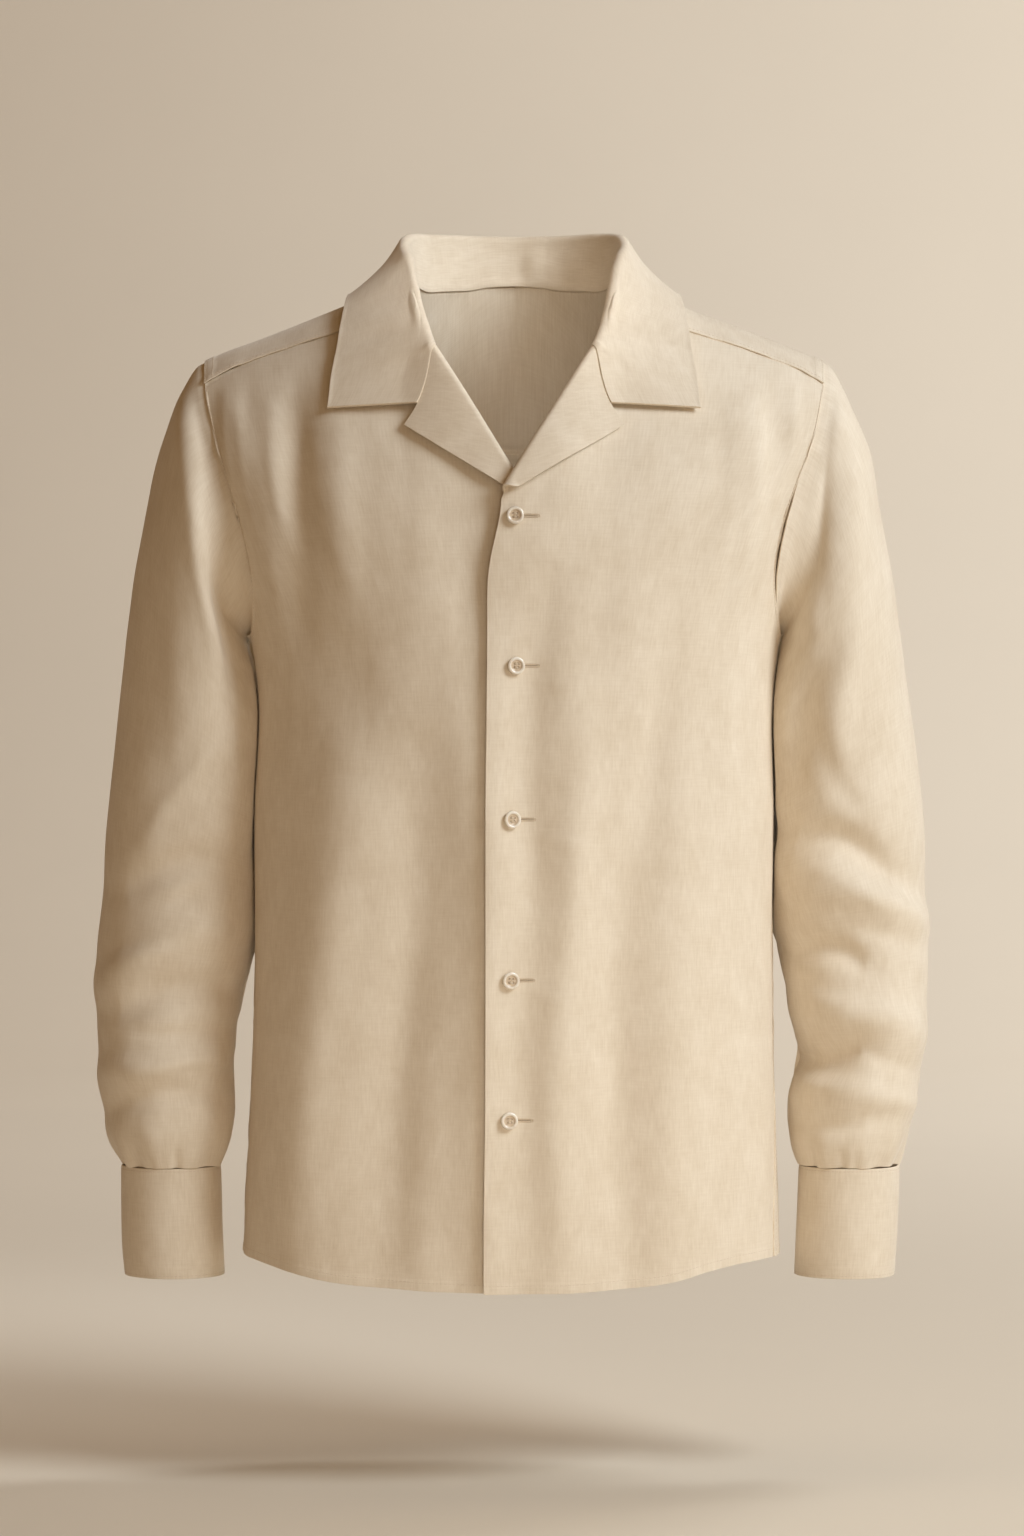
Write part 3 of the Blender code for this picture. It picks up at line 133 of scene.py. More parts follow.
STITCH_PITCH = 3.0 * MM
STITCH_LENGTH = 2.5 * MM
HOLE_BEGIN = -1.0 * MM         # buttonhole slit, from the button's middle
HOLE_END = 16.5 * MM
SLIT_HALF = 0.20 * MM
PURL_OFFSET = 0.95 * MM
PURL_LENGTH = 1.35 * MM
PURL_RADIUS = 0.19 * MM
PURL_PITCH = 0.45 * MM
PURL_LIFT = 0.10 * MM
BUTTON_SIDES = 72
HOLE_DEPTH = 1.5 * MM

# ---------------------------------------------------------------- tables


def table(names, rows):
    """Rows of millimetres, or degrees, as a dictionary of named columns."""
    values = np.array(rows, dtype=float)
    columns = {}
    for index, name in enumerate(names.split()):
        scale = math.pi / 180 if name.endswith("angle") else 1.0 if name.endswith("_n") else MM
        columns[name] = values[:, index] * scale
    return columns


def fold_table(rows):
    """Folds seen from the front: start, end, sideways bow, half width and height."""
    return table("x1 z1 x2 z2 bow width depth", rows)


# level sections of the body tube, from below the hem to above the shoulders
BODY = table("height half_width front back shift", [
    (-770, 197.5, 108, 112, -1.5),
    (-700, 197.0, 111, 113, -1.5),
    (-620, 194.0, 115, 113, -0.5),
    (-520, 191.5, 120, 112, 0),
    (-400, 192.0, 125, 113, 0),
    (-290, 193.0, 129, 117, 1),
    (-250, 201.0, 130, 119, 1),
    (-215, 214.0, 130, 120, 0),
    (-180, 229.0, 130, 120, 0),
    (-140, 248.0, 130, 120, 0),
    (-110, 258.0, 130, 120, 0),
    (-80, 264.0, 130, 120, 0),
    (100, 268.0, 130, 120, 0),
])

# the neck seam, from the gorge where the roll line crosses it to the centre back
NECK = table("across arch_angle", [
    (59.5, 43.2),
    (69.5, 52.0),
    (75.5, 62.0),
    (78.0, 78.0),
    (77.5, 93.0),
    (71.5, 106.0),
    (59.0, 116.5),
    (34.0, 127.0),
    (0.0, 132.4),
])
YOKE_ALONG_NECK = 2 / 8        # the yoke starts at the third of nine rows of NECK

# the front yoke seam, from the neck to the armhole
YOKE_SEAM = table("across height", [
    (75.5, -30.0),
    (98.0, -35.5),
    (124.0, -45.0),
    (170.0, -58.5),
    (205.0, -71.5),
    (226.5, -83.0),
])
BACK_YOKE_HEIGHT = -124 * MM
BACK_YOKE_END = -116 * MM      # where it meets the armhole

# the armhole seam as seen from the front; the back one is its mirror image
ARMHOLE = table("across height", [
    (228.5, -63.9),
    (226.5, -83.0),
    (220.5, -111.5),
    (211.0, -142.0),
    (199.5, -181.0),
    (192.5, -215.0),
    (190.8, -243.0),
    (192.8, -262.0),
    (194.6, -268.0),
])

# lapel and collar corners, as they lie on the fronts
GORGE = (59.5 * MM, -62.0 * MM)
LAPEL_POINT = (77.5 * MM, -121.5 * MM)
NOTCH_SHARE = 0.645            # the notch, as a share of the lapel's top edge
COLLAR_POINT = (132.5 * MM, -109.0 * MM)

# the folded collar, a row for each section from the gorge to the centre back: its share
# of the neck seam, the middle of its roll, the way the stand points there, the roll's
# radius and the outer edge
COLLAR = table("share_n roll_x roll_y roll_z up_x_n up_y_n up_z_n radius edge_across edge_angle", [
    (0.000, 59.5, -89.4, -62.0, -0.81, -0.18, 0.55, 2.6, 129.5, 48.5),
    (0.240, 69.0, -56.0, -31.5, -0.72, -0.20, 0.66, 2.7, 126.0, 61.0),
    (0.375, 74.5, -22.0, 0.0, -0.40, -0.12, 0.90, 2.9, 122.5, 77.0),
    (0.500, 79.0, 4.0, 17.5, -0.22, -0.03, 0.97, 3.0, 119.0, 98.0),
    (0.625, 76.0, 28.0, 28.0, -0.16, -0.05, 0.98, 3.1, 111.0, 113.5),
    (0.750, 63.0, 48.5, 31.5, -0.10, -0.08, 0.99, 3.2, 92.5, 120.6),
    (0.812, 51.5, 58.3, 32.2, -0.07, -0.09, 0.99, 3.2, 74.0, 125.2),
    (0.875, 37.0, 66.8, 32.6, -0.05, -0.10, 0.99, 3.2, 52.0, 133.5),
    (0.937, 19.0, 73.2, 32.8, -0.03, -0.10, 0.99, 3.2, 26.5, 139.9),
    (1.000, 0.0, 75.6, 32.9, 0.00, -0.10, 0.99, 3.2, 0.0, 142.6),
])

# hem as it hangs: height over distance from the centre front or back
HEM = table("across height", [
    (0, -740),
    (75, -738.5),
    (132, -734),
    (165, -727),
    (185, -723.5),
    (200, -722),
])

# sleeve sections from the shoulder down; out and in are the outer and inner side
SLEEVE = table("out_x out_z in_x in_z middle_y half_depth", [
    (245, -86, 197.5, -271, 2, 70),
    (259, -122, 198.0, -281, 5, 74),
    (272, -170, 194.0, -303, 9, 77),
    (282, -222, 187.0, -334, 14, 78),
    (290, -285, 184.0, -368, 19, 77),
    (297, -345, 184.0, -405, 22, 73),
    (303, -410, 185.0, -446, 22, 68),
    (306, -468, 190.0, -486, 19, 64),
    (308.5, -528, 199.5, -534, 13, 60),
    (306, -575, 208.0, -578, 7, 55),
    (302.5, -615, 207.0, -615, 2, 50),
    (297, -642, 211.5, -642, -1, 44),
    (289.8, -657.5, 216.2, -657.5, -2, 37.5),
])

# cuff sections, top to bottom
CUFF = table("out_x out_z in_x in_z middle_y half_depth", [
    (291.2, -658, 216.8, -658, -2, 38),
    (291.0, -685, 215.8, -685, -2, 38),
    (290.0, -715, 214.4, -715, -3, 37.5),
    (288.0, -738.5, 213.4, -738.5, -3, 37),
])
LEFT_SLEEVE_IN = 6.5 * MM      # the wearer's left cuff hangs nearer the body
SWING_FROM = -420 * MM

BUTTONS = table("across height", [
    (0.7, -187),
    (0.0, -292.5),
    (-2.0, -401.5),
    (-2.8, -515.5),
    (-3.4, -615.5),
])

# the larger folds: a soft ridge has a height above 0, a trough one below
FRONT_FOLDS = fold_table([
    (-160, -98, -150, -268, 0, 11, -6.5),
    (-203, -100, -170, -268, -3, 8, 4.5),
    (-130, -108, -118, -250, 0, 13, 3),
    (-140, -250, -112, -340, -4, 24, -2.5),
    (-122, -370, -156, -745, 6, 25, 10),
    (-66, -370, -94, -745, 2, 22, -8.5),
    (-22, -290, -23, -745, 0, 19, 6.5),
    (34, -210, 10, -470, 10, 15, -4.5),
    (9, -450, 10, -745, 0, 14, -1),
    (50, -320, 31, -590, -3, 15, 4.5),
    (31, -580, 36, -745, 0, 15, 3),
    (104, -300, 76, -500, -4, 18, -4.5),
    (76, -490, 80, -745, 0, 17, -5.0),
    (124, -380, 120, -745, 0, 22, 5.5),
    (165, -230, 158, -600, 4, 20, 4),
    (196, -110, 178, -260, -6, 11, -4.5),
    (172, -110, 160, -240, -4, 12, 3.5),
])
BACK_FOLDS = fold_table([
    (-185, -170, -120, -420, 10, 17, -5),
    (-150, -260, -95, -740, 6, 24, 5.5),
    (-40, -300, -60, -740, -5, 26, -6),
    (20, -240, 25, -740, 6, 22, 5),
    (95, -380, 70, -740, 4, 24, -6.5),
    (186, -180, 125, -430, -9, 16, -5),
    (150, -420, 135, -740, -4, 22, 5.5),
])
RIGHT_SLEEVE_FOLDS = fold_table([
    (-242, -105, -212, -320, 0, 9, 4),
    (-205, -210, -202, -345, 0, 14, -9),
    (-262, -160, -262, -330, 0, 14, -3.5),
    (-205, -430, -285, -455, 8, 13, -7),
    (-205, -480, -300, -520, 8, 14, 7),
    (-205, -528, -290, -540, 9, 12, -8),
    (-210, -572, -302, -590, -6, 12, 7),
    (-212, -604, -300, -616, 6, 9, -5),
])
LEFT_SLEEVE_FOLDS = fold_table([
    (224, -108, 202, -262, -4, 15, -8),
    (260, -100, 245, -285, 3, 14, 6),
    (211, -222, 214, -272, 0, 10, 4),
    (216, -285, 203, -395, 6, 15, -9),
    (246, -275, 236, -365, 4, 12, 5),
    (276, -120, 272, -330, 0, 15, 3),
    (205, -418, 285, -448, -9, 13, -11),
    (215, -455, 302, -478, -8, 13, 8),
    (205, -500, 258, -512, -7, 11, -9),
    (212, -548, 300, -560, -6, 13, 8),
    (208, -582, 252, -568, 5, 9, -9),
    (212, -602, 300, -612, -5, 10, 5),
    (212, -624, 256, -622, 4, 8, -5),
])
SLEEVE_BACK_FOLDS = fold_table([
    (262, -140, 232, -330, 4, 15, 4.5),
    (208, -415, 300, -440, 7, 14, -6),
    (208, -470, 302, -490, -6, 14, 5.5),
    (210, -530, 300, -535, 6, 12, -6),
    (212, -585, 300, -590, -5, 11, 5),
])
CUFF_GATHERS = 9               # little pleats round each sleeve where it meets the cuff
GATHER_DEPTH = 1.3 * MM

# how far the cloth of a sleeve hangs from the solid's line, outer and inner side
NUDGES = table("height left_out left_in right_out right_in", [
    (-70, 0, 0, 0, 0),
    (-130, -2, 0, 0, 0),
    (-185, -5, 0, 0, 0),
    (-240, -2, -1.5, 0, -1.5),
    (-268, -1, -6, 0, -6),
    (-300, 0, -9, 0, -9),
    (-360, 2, -6, 0, -6),
    (-440, 2, 0, 1, 0),
    (-500, 1, 5, 1, 0),
    (-545, 2, 7, 3, 0),
    (-590, 2, 7, 1, 1),
    (-630, -1, 0, 2, -2),
    (-660, 0, 0, 0, 0),
])
# small creases
FRONT_CREASES = fold_table([
    (-48, -240, -40, -400, 0, 14, 1.5),
    (70, -180, 86, -300, 0, 20, 1.5),
    (-212, -92, -196, -178, 3, 5, 1.8),
    (-196, -96, -176, -205, 4, 6, -2.0),
    (-178, -104, -150, -230, 5, 6, 1.6),
    (-158, -110, -126, -240, 6, 7, -1.5),
    (-188, -150, -172, -300, -3, 6, -1.6),
    (205, -92, 190, -170, -3, 5, 1.8),
    (188, -98, 172, -200, -4, 6, -1.9),
    (160, -104, 140, -230, -5, 7, 1.5),
    (24, -215, 56, -222, 3, 5, 0.8),
    (-30, -225, -80, -250, -4, 8, 0.7),
    (18, -300, 50, -307, 3, 5, 0.8),
    (-30, -310, -76, -335, -4, 8, 0.7),
    (16, -410, 48, -419, 3, 5, 0.8),
    (-32, -420, -76, -445, -4, 8, 0.7),
    (14, -522, 46, -531, 3, 5, 0.8),
    (-30, -530, -70, -552, -4, 8, 0.7),
])
BACK_CREASES = fold_table([
    (-200, -140, -150, -230, 4, 7, -2.0),
    (200, -140, 150, -230, -4, 7, -2.0),
    (-178, -150, -120, -250, 5, 7, 1.7),
    (178, -150, 120, -250, -5, 7, 1.7),
    (-70, -136, -64, -260, 2, 8, 1.6),
    (64, -136, 60, -270, -2, 8, 1.6),
    (-160, -520, -60, -560, 6, 10, -1.7),
    (150, -500, 60, -550, -6, 10, -1.7),
])
RIGHT_SLEEVE_CREASES = fold_table([
    (-226, -110, -208, -240, -3, 6, -2.4),
    (-240, -100, -226, -210, -4, 7, 2.0),
    (-210, -350, -270, -420, 6, 8, 2.2),
    (-212, -445, -262, -462, -4, 6, -2.4),
    (-240, -490, -300, -505, 5, 7, -2.4),
    (-214, -552, -280, -556, -5, 6, -2.2),
    (-216, -590, -262, -596, 4, 5, -2.0),
    (-220, -628, -292, -634, -3, 6, 1.8),
])
LEFT_SLEEVE_CREASES = fold_table([
    (232, -104, 222, -200, 3, 6, -2.2),
    (214, -330, 250, -400, 5, 8, -2.4),
    (210, -440, 262, -462, -4, 6, 2.0),
    (236, -484, 300, -498, -5, 7, -2.2),
    (210, -528, 252, -538, 4, 6, 2.0),
    (226, -572, 296, -584, -4, 6, -2.2),
    (214, -596, 258, -592, 3, 5, 1.8),
    (240, -636, 296, -640, 3, 5, -1.6),
])


# face and back of a button, by distance from its middle
BUTTON_FACE = table("radius level", [
    (0, 1.65), (2.6, 1.7), (3.5, 1.85), (4.35, 2.55), (5.1, 2.75), (5.75, 2.5), (6.2, 1.95), (6.35, 1.3),
])
BUTTON_BACK = table("radius level", [(0, 0), (5.0, 0), (6.35, 1.3)])
FACE_RINGS = 34
BACK_RINGS = 8

# lamps: place, target, size in metres, spread in degrees, colour; their powers are settings
LAMPS = {
    "key": ((2.25, -1.6, 1.35), (0, 0, -0.38), 1.5, 180, (0.855, 0.935, 1.0)),
    "front": ((0.7, -2.8, 0.45), (0, 0, -0.35), 1.0, 180, (1.0, 0.8, 0.55)),
    "neck": ((0.03, -0.42, 0.16), (0, 0.08, -0.07), 0.1, 36, (1.0, 0.93, 0.84)),
    "floor": ((-0.75, 0.9, 0.5), (-0.6, 0.6, -0.885), 0.8, 55, (0.9, 0.95, 1.0)),
    "low": ((0.2, -1.9, -0.8), (0.05, 0, -0.74), 0.6, 40, (1.0, 0.94, 0.85)),
    "paper": ((3.0, 2.5, 3.5), (1.0, 7.0, 0.0), 3.0, 180, (0.877, 0.939, 1.0)),
}
SURROUND = (1.0, 0.55, 0.19, 1.0)    # colour of the light from all round
BACKDROP_WALL = 7.5            # metres behind the shirt
BACKDROP_SWEEP = 3.5           # radius of the curve between floor and wall
BACKDROP_NEAR = -9.0
BACKDROP_TALL = 9.0
BACKDROP_HALF = 14.0
CAMERA_ACROSS = -1.5 * MM
CAMERA_HEIGHT = -365 * MM
FILM_WIDTH = 36                # millimetres

# ---------------------------------------------------------------- number helpers
def follow(knots, values, at):
    """Smooth curve through values at rising knots, read at the places `at`."""
    knots = np.asarray(knots, dtype=float)
    values = np.asarray(values, dtype=float)
    at = np.clip(np.asarray(at, dtype=float), knots[0], knots[-1])
    slope = np.gradient(values, knots, axis=0)
    low = np.clip(np.searchsorted(knots, at, side="right") - 1, 0, len(knots) - 2)
    step = knots[low + 1] - knots[low]
    part = (at - knots[low]) / step
    if values.ndim > 1:
        shape = part.shape + (1,) * (values.ndim - 1)
        step = step.reshape(shape)
        part = part.reshape(shape)
    square = part * part
    cube = square * part
    return ((2 * cube - 3 * square + 1) * values[low] + (cube - 2 * square + part) * step * slope[low]
            + (3 * square - 2 * cube) * values[low + 1] + (cube - square) * step * slope[low + 1])


def ease(value, start, end):
    """0 before start, 1 after end, smooth between."""
    part = np.clip((np.asarray(value, dtype=float) - start) / (end - start), 0, 1)
    return part * part * (3 - 2 * part)


def running(steps):
    """Running total that starts at 0."""
    return np.concatenate([[0], np.cumsum(steps)])


def path_length(path):
    """Length along a path up to each of its points."""
    return running(np.linalg.norm(np.diff(path, axis=0), axis=1))


def read_path(path, length, at):
    """Points of a path where its length is `at`."""
    return np.stack([np.interp(at, length, path[:, axis]) for axis in range(3)], axis=-1)


def unit(vectors):
    """Vectors divided by their length."""
    return vectors / np.maximum(np.linalg.norm(vectors, axis=-1, keepdims=True), 1e-12)


def stack(x, y, z):
    """Points from three arrays, spread to one shape."""
    return np.stack(np.broadcast_arrays(x, y, z), axis=-1)


# ---------------------------------------------------------------- the body's form
def _section_rule(samples=2001):
    """Girth fraction from centre to side against the section's width and depth."""
    turn = np.linspace(0, math.pi / 2, samples)
    across, deep = np.sin(turn), np.cos(turn)
    reach = ((across / SECTION_RATIO) ** SECTION_POWER + deep ** SECTION_POWER) ** (-1 / SECTION_POWER)
    x, y = reach * across, reach * deep
    girth = running(np.hypot(np.diff(x), np.diff(y)))
    return girth / girth[-1], x / SECTION_RATIO, y


GIRTH, GIRTH_WIDTH, GIRTH_DEPTH = _section_rule()


def shoulder_height(x):
    """Height of the shoulder line; inside the neck it climbs as the cloth would."""
    across = np.abs(x)
    climb = np.clip(1 - (across / (NECK_SIDE + 5 * MM)) ** 2, 0, 1) ** 1.5
    return SHOULDER_TOP - SHOULDER_SLOPE * (across - NECK_SIDE) + NECK_RISE * climb


def body_size(name, z):
    """A size of the body tube at a height."""
    return follow(BODY["height"], BODY[name], z)


def side_depth(x, z):
    """Share of the full depth that is left at x."""
    share = np.clip(np.abs(x) / body_size("half_width", z), 0, 1)
    return np.clip(1 - share ** SECTION_POWER, 0, 1) ** (1 / SECTION_POWER)


def arch_depth(x, z):
    """Share of the full depth that is left as the body arches over to the shoulder line."""
    climb = np.clip((z - CHEST_HEIGHT) / (shoulder_height(x) - CHEST_HEIGHT), 0, 1)
    return np.clip(1 - climb ** ARCH_POWER, 0, 1) ** (1 / ARCH_POWER)


def girth_at(x, z):
    """Signed girth fraction of a place given by x and height."""
    share = np.clip(np.abs(x) / body_size("half_width", z), 0, 1)
    return np.sign(x) * np.interp(share, GIRTH_WIDTH, GIRTH)


def body_at(girth, z):
    """Point of the body by girth and height.

    Girth is 0 at the centre front, 1 at the wearer's left side, 2 at the centre back,
    and the same with a minus sign on the wearer's right.
    """
    round_by = np.abs(girth)
    back = round_by > 1
    share = np.clip(np.where(back, 2 - round_by, round_by), 0, 1)
    x = np.sign(girth) * body_size("half_width", z) * np.interp(share, GIRTH, GIRTH_WIDTH)
    depth = np.where(back, body_size("back", z), -body_size("front", z))
    deep = depth * np.interp(share, GIRTH, GIRTH_DEPTH) * arch_depth(x, z)
    shift = body_size("shift", z)
    return stack(x + shift, deep, z)


def arch_at(x, turn):
    """Point over the shoulders: turn 0 is the chest, a quarter turn the shoulder line."""
    power = 2 / ARCH_POWER
    climb = np.abs(np.sin(turn)) ** power
    z = CHEST_HEIGHT + (shoulder_height(x) - CHEST_HEIGHT) * climb
    swing = np.abs(np.cos(turn)) ** power
    front = turn < math.pi / 2
    depth = np.where(front, -body_size("front", z), body_size("back", z))
    return stack(x, depth * side_depth(x, z) * swing, z)


def arch_turn(x, z):
    """The turn of a front place given by x and height."""
    climb = np.clip((z - CHEST_HEIGHT) / (shoulder_height(x) - CHEST_HEIGHT), 0, 1)
    return np.arcsin(climb ** (ARCH_POWER / 2))


def body_normal(girth, z):
    """Outward unit normal of the body at a girth and height."""
    turn_step, rise_step = 0.002, 0.5 * MM
    along = body_at(girth + turn_step, z) - body_at(girth - turn_step, z)
    up = body_at(girth, z + rise_step) - body_at(girth, z - rise_step)
    return unit(np.cross(along, up))


def clear_of_body(points, clearance):
    """Points pushed outwards until they stand clear of the body and shoulders."""
    x, y, z = points[..., 0], points[..., 1], points[..., 2]
    depth = np.where(y < 0, body_size("front", z), body_size("back", z)) * side_depth(x, z)
    rise = shoulder_height(x) - CHEST_HEIGHT
    climb = np.clip((z - CHEST_HEIGHT) / rise, 0, None)
    out = np.abs(y) / np.maximum(depth, 1 * MM)
    radius = (climb ** ARCH_POWER + out ** ARCH_POWER) ** (1 / ARCH_POWER)
    wanted = 1 + clearance / (0.6 * np.hypot(depth, rise))
    scale = np.maximum(radius, wanted) / np.maximum(radius, 1e-6)
    return stack(x, y * scale, CHEST_HEIGHT + (z - CHEST_HEIGHT) * np.where(z > CHEST_HEIGHT, scale, 1))


# ---------------------------------------------------------------- folds
def fold_height(folds, x, z):
    """Sum of soft ridges and troughs at places seen from the front or back."""
    total = np.zeros(np.broadcast(x, z).shape)
    for row in range(len(folds["x1"])):
        x1, z1 = folds["x1"][row], folds["z1"][row]
        dx, dz = folds["x2"][row] - x1, folds["z2"][row] - z1
        length = math.hypot(dx, dz)
        along = ((x - x1) * dx + (z - z1) * dz) / length
        share = np.clip(along / length, 0, 1)
        past = along - share * length
        side = ((x - x1) * dz - (z - z1) * dx) / length - 4 * folds["bow"][row] * share * (1 - share)
        width = folds["width"][row]
        swell = np.exp(-(side / width) ** 2 - (past / (1.6 * width)) ** 2)
        total = total + folds["depth"][row] * swell * (0.35 + 0.65 * np.sin(math.pi * share) ** 0.7)
    return total


def body_cloth(girth, z, height=0.0, folds=True):
    """Points of the folded body cloth, raised by `height` along its normals."""
    point = body_at(girth, z)
    out = body_normal(girth, z)
    raised = height
    if folds:
        u, v = girth * QUARTER_GIRTH, z + 0 * girth
        x = point[..., 0] + FOLD_WARP * soft_noise(u, v, 70 * MM, 90 * MM, 31, 4 * QUARTER_GIRTH)
        facing = ease(np.abs(out[..., 1]), 0.05, 0.55)
        front = fold_height(FRONT_FOLDS, x, z) + fold_height(FRONT_CREASES, x, z)
        back = fold_height(BACK_FOLDS, x, z) + fold_height(BACK_CREASES, x, z)
        raised = raised + np.where(np.abs(girth) > 1, back, front) * facing
        raised = raised + ripple(u, v, 41, 1.0, 4 * QUARTER_GIRTH)
    return point + out * (raised + np.zeros_like(z))[..., None]


# ---------------------------------------------------------------- fine surface
def crowded(count, length, start=0.0, end=0.0, fine=0.7 * MM, run=9 * MM):
    """Shares 0 to 1 in `count` steps, `fine` apart along a run at the start or the end."""
    place = np.linspace(0, length, 2000)
    even = count / length
    dense = 1 / fine
    weight = even + start * dense * np.exp(-(place / run) ** 2)
    weight = weight + end * dense * np.exp(-((length - place) / run) ** 2)
    share = running((weight[1:] + weight[:-1]) / 2)
    return np.interp(np.linspace(0, 1, count + 1), share / share[-1], place / length)


def soft_noise(u, v, across, along, seed, wrap=None):
    """Smooth noise from -1 to 1 over places u, v with patches `across` by `along` wide.

    Values on a lattice are drawn once for a seed and blended with smooth steps; with
    `wrap` the lattice repeats over that length of u.
    """
    cells = 97 if wrap is None else max(2, round(wrap / across))
    width = across if wrap is None else wrap / cells
    lattice = np.random.default_rng(seed).uniform(-1, 1, (cells, 89))
    column, row = u / width + 1000 * cells, v / along + 1000 * 89
    left, low = np.floor(column), np.floor(row)
    part_u, part_v = column - left, row - low
    part_u = part_u * part_u * (3 - 2 * part_u)
    part_v = part_v * part_v * (3 - 2 * part_v)
    left, low = left.astype(int), low.astype(int)
    near = lattice[left % cells, low % 89] * (1 - part_v) + lattice[left % cells, (low + 1) % 89] * part_v
    far = (lattice[(left + 1) % cells, low % 89] * (1 - part_v)
           + lattice[(left + 1) % cells, (low + 1) % 89] * part_v)
    return near * (1 - part_u) + far * part_u


def ripple(u, v, seed, amount=1.0, wrap=None):
    """Small unevenness of soft cloth: three sizes of patches, longer than they are wide."""
    return amount * (0.75 * MM * soft_noise(u, v, 42 * MM, 120 * MM, seed, wrap)
                     + 0.38 * MM * soft_noise(u, v, 19 * MM, 52 * MM, seed + 1, wrap)
                     + 0.15 * MM * soft_noise(u, v, 8 * MM, 21 * MM, seed + 2, wrap))


def grid_normals(grid, side=1, closed=False):
    """Outward normals: across the columns times up the rows, turned round for side -1."""
    if closed:
        wide = np.concatenate([grid[:, -1:], grid, grid[:, :1]], axis=1)
        across = wide[:, 2:] - wide[:, :-2]
    else:
        across = np.gradient(grid, axis=1)
    return unit(np.cross(across, np.gradient(grid, axis=0))) * side


def run_from(grid, edge):
    """Length along rows or columns from an edge of the grid to each of its points."""
    axis = 0 if edge in ("top", "bottom") else 1
    if edge in ("top", "right"):
        grid = np.flip(grid, axis)
    step = np.linalg.norm(np.diff(grid, axis=axis), axis=-1)
    zero = np.zeros_like(np.take(step, [0], axis=axis))
    run = np.concatenate([zero, np.cumsum(step, axis=axis)], axis=axis)
    return np.flip(run, axis) if edge in ("top", "right") else run


def line_at(grid, out, run, distance, rows=True):
    """Places and normals at a distance from an edge, one for each column, or each row."""
    if not rows:
        grid, out, run = grid.swapaxes(0, 1), out.swapaxes(0, 1), run.T
    if run[0, 0] > run[-1, 0]:
        grid, out, run = grid[::-1], out[::-1], run[::-1]
    after = np.clip((run < distance).sum(axis=0), 1, len(run) - 1)
    column = np.arange(run.shape[1])
    low, high = run[after - 1, column], run[after, column]
    part = np.clip((distance - low) / np.maximum(high - low, 1e-9), 0, 1)[:, None]
    place = grid[after - 1, column] * (1 - part) + grid[after, column] * part
    normal = out[after - 1, column] * (1 - part) + out[after, column] * part
    return place, unit(normal)


def turned_edge(run, width, rise, soft=1.2 * MM):
    """Height of a band along an edge: `rise` thick up to `width`, then level with the rest."""
    return rise * (1 - ease(run, width - soft / 2, width + soft / 2))


# ---------------------------------------------------------------- seam lines
# steps along each seam, the same for both pieces that meet there
NECK_STEPS = 20                # gorge to the front yoke seam
YOKE_SEAM_STEPS = 44           # along the front yoke seam
ARM_FRONT_STEPS = 56           # armhole: front, yoke before and behind the top, back
ARM_YOKE_FRONT_STEPS = 12
ARM_YOKE_BACK_STEPS = 24
ARM_BACK_STEPS = 46
BACK_YOKE_STEPS = 60           # half the back yoke seam
FRONT_NECK_SHARE = 0.13        # girth of a front at the hem that the neck's columns run to
FRONT_ARM_SHARE = 0.50         # and from which the armhole's columns run
BACK_ARM_SHARE = 0.56
FRONT_LOW_ROWS = 138           # hem to the break
FRONT_HIGH_ROWS = 96           # break to the top
TURN_STEPS = 10                # round the lapel's roll
FLAT_STEPS = 20                # across the lapel
LAPEL_STRIP = 3.0 * MM         # where the lapel's columns gather at the break
BACK_ROWS = 150
YOKE_ROWS = 45
SLEEVE_ROWS = 184
SEAM_RUN = 5 * MM              # the sleeve leaves its seam level with the body cloth
CUFF_ROWS = 30
CUFF_COLUMNS = 160
COLLAR_END_STATIONS = 24       # collar end to the end of the lapel's roll
COLLAR_TURN_STATIONS = 10      # round the roll at the gorge
COLLAR_NECK_STATIONS = 26
COLLAR_BACK_STATIONS = 84
COLLAR_COLUMNS = 60
STAND_SAMPLES, ROLL_SAMPLES, FALL_SAMPLES = 30, 24, 60    # of a collar section, before it is spaced


def along_seam(seam, second, share):
    """A seam's place across and its second column, read at shares of its rows."""
    knots = np.linspace(0, 1, len(seam["across"]))
    return follow(knots, seam["across"], share), follow(knots, seam[second], share)


def armhole_line(share):
    """Armhole seam as x and height, 0 at the shoulder and 1 at the underarm."""
    return along_seam(ARMHOLE, "height", share)


def armhole_share(height):
    """Where along the armhole line a height lies."""
    shares = np.linspace(0, 1, 401)
    return float(np.interp(-height, -armhole_line(shares)[1], shares))


YOKE_ARM_FRONT = armhole_share(YOKE_SEAM["height"][-1])
YOKE_ARM_BACK = armhole_share(BACK_YOKE_END)


def armhole_points(begin, end, steps):
    """Places along the armhole line as x and height, closer together at the underarm."""
    shares = begin + (end - begin) * np.linspace(0, 1, 200) ** 1.5
    x, z = armhole_line(shares)
    length = path_length(body_at(girth_at(x, z), z))
    even = length[-1] * crowded(steps, ARM_RUN, end=float(end == 1), fine=SEAM_FINE)
    return np.interp(even, length, x), np.interp(even, length, z)


def yoke_line(share):
    """Front yoke seam as x and height, from the neck to the armhole."""
    return along_seam(YOKE_SEAM, "height", share)


def back_yoke_line(share):
    """Back yoke seam as x and height, from the centre to the armhole."""
    end_x = armhole_line(YOKE_ARM_BACK)[0]
    return end_x * share, BACK_YOKE_HEIGHT + (BACK_YOKE_END - BACK_YOKE_HEIGHT) * share ** 2


def neck_line(share):
    """Neck seam, 0 at the gorge and 1 at the centre back, as x and turn over the shoulder."""
    return along_seam(NECK, "arch_angle", share)


def hem_height(x):
    """Height of the hem by distance from the centre."""
    return follow(HEM["across"], HEM["height"], np.abs(x))


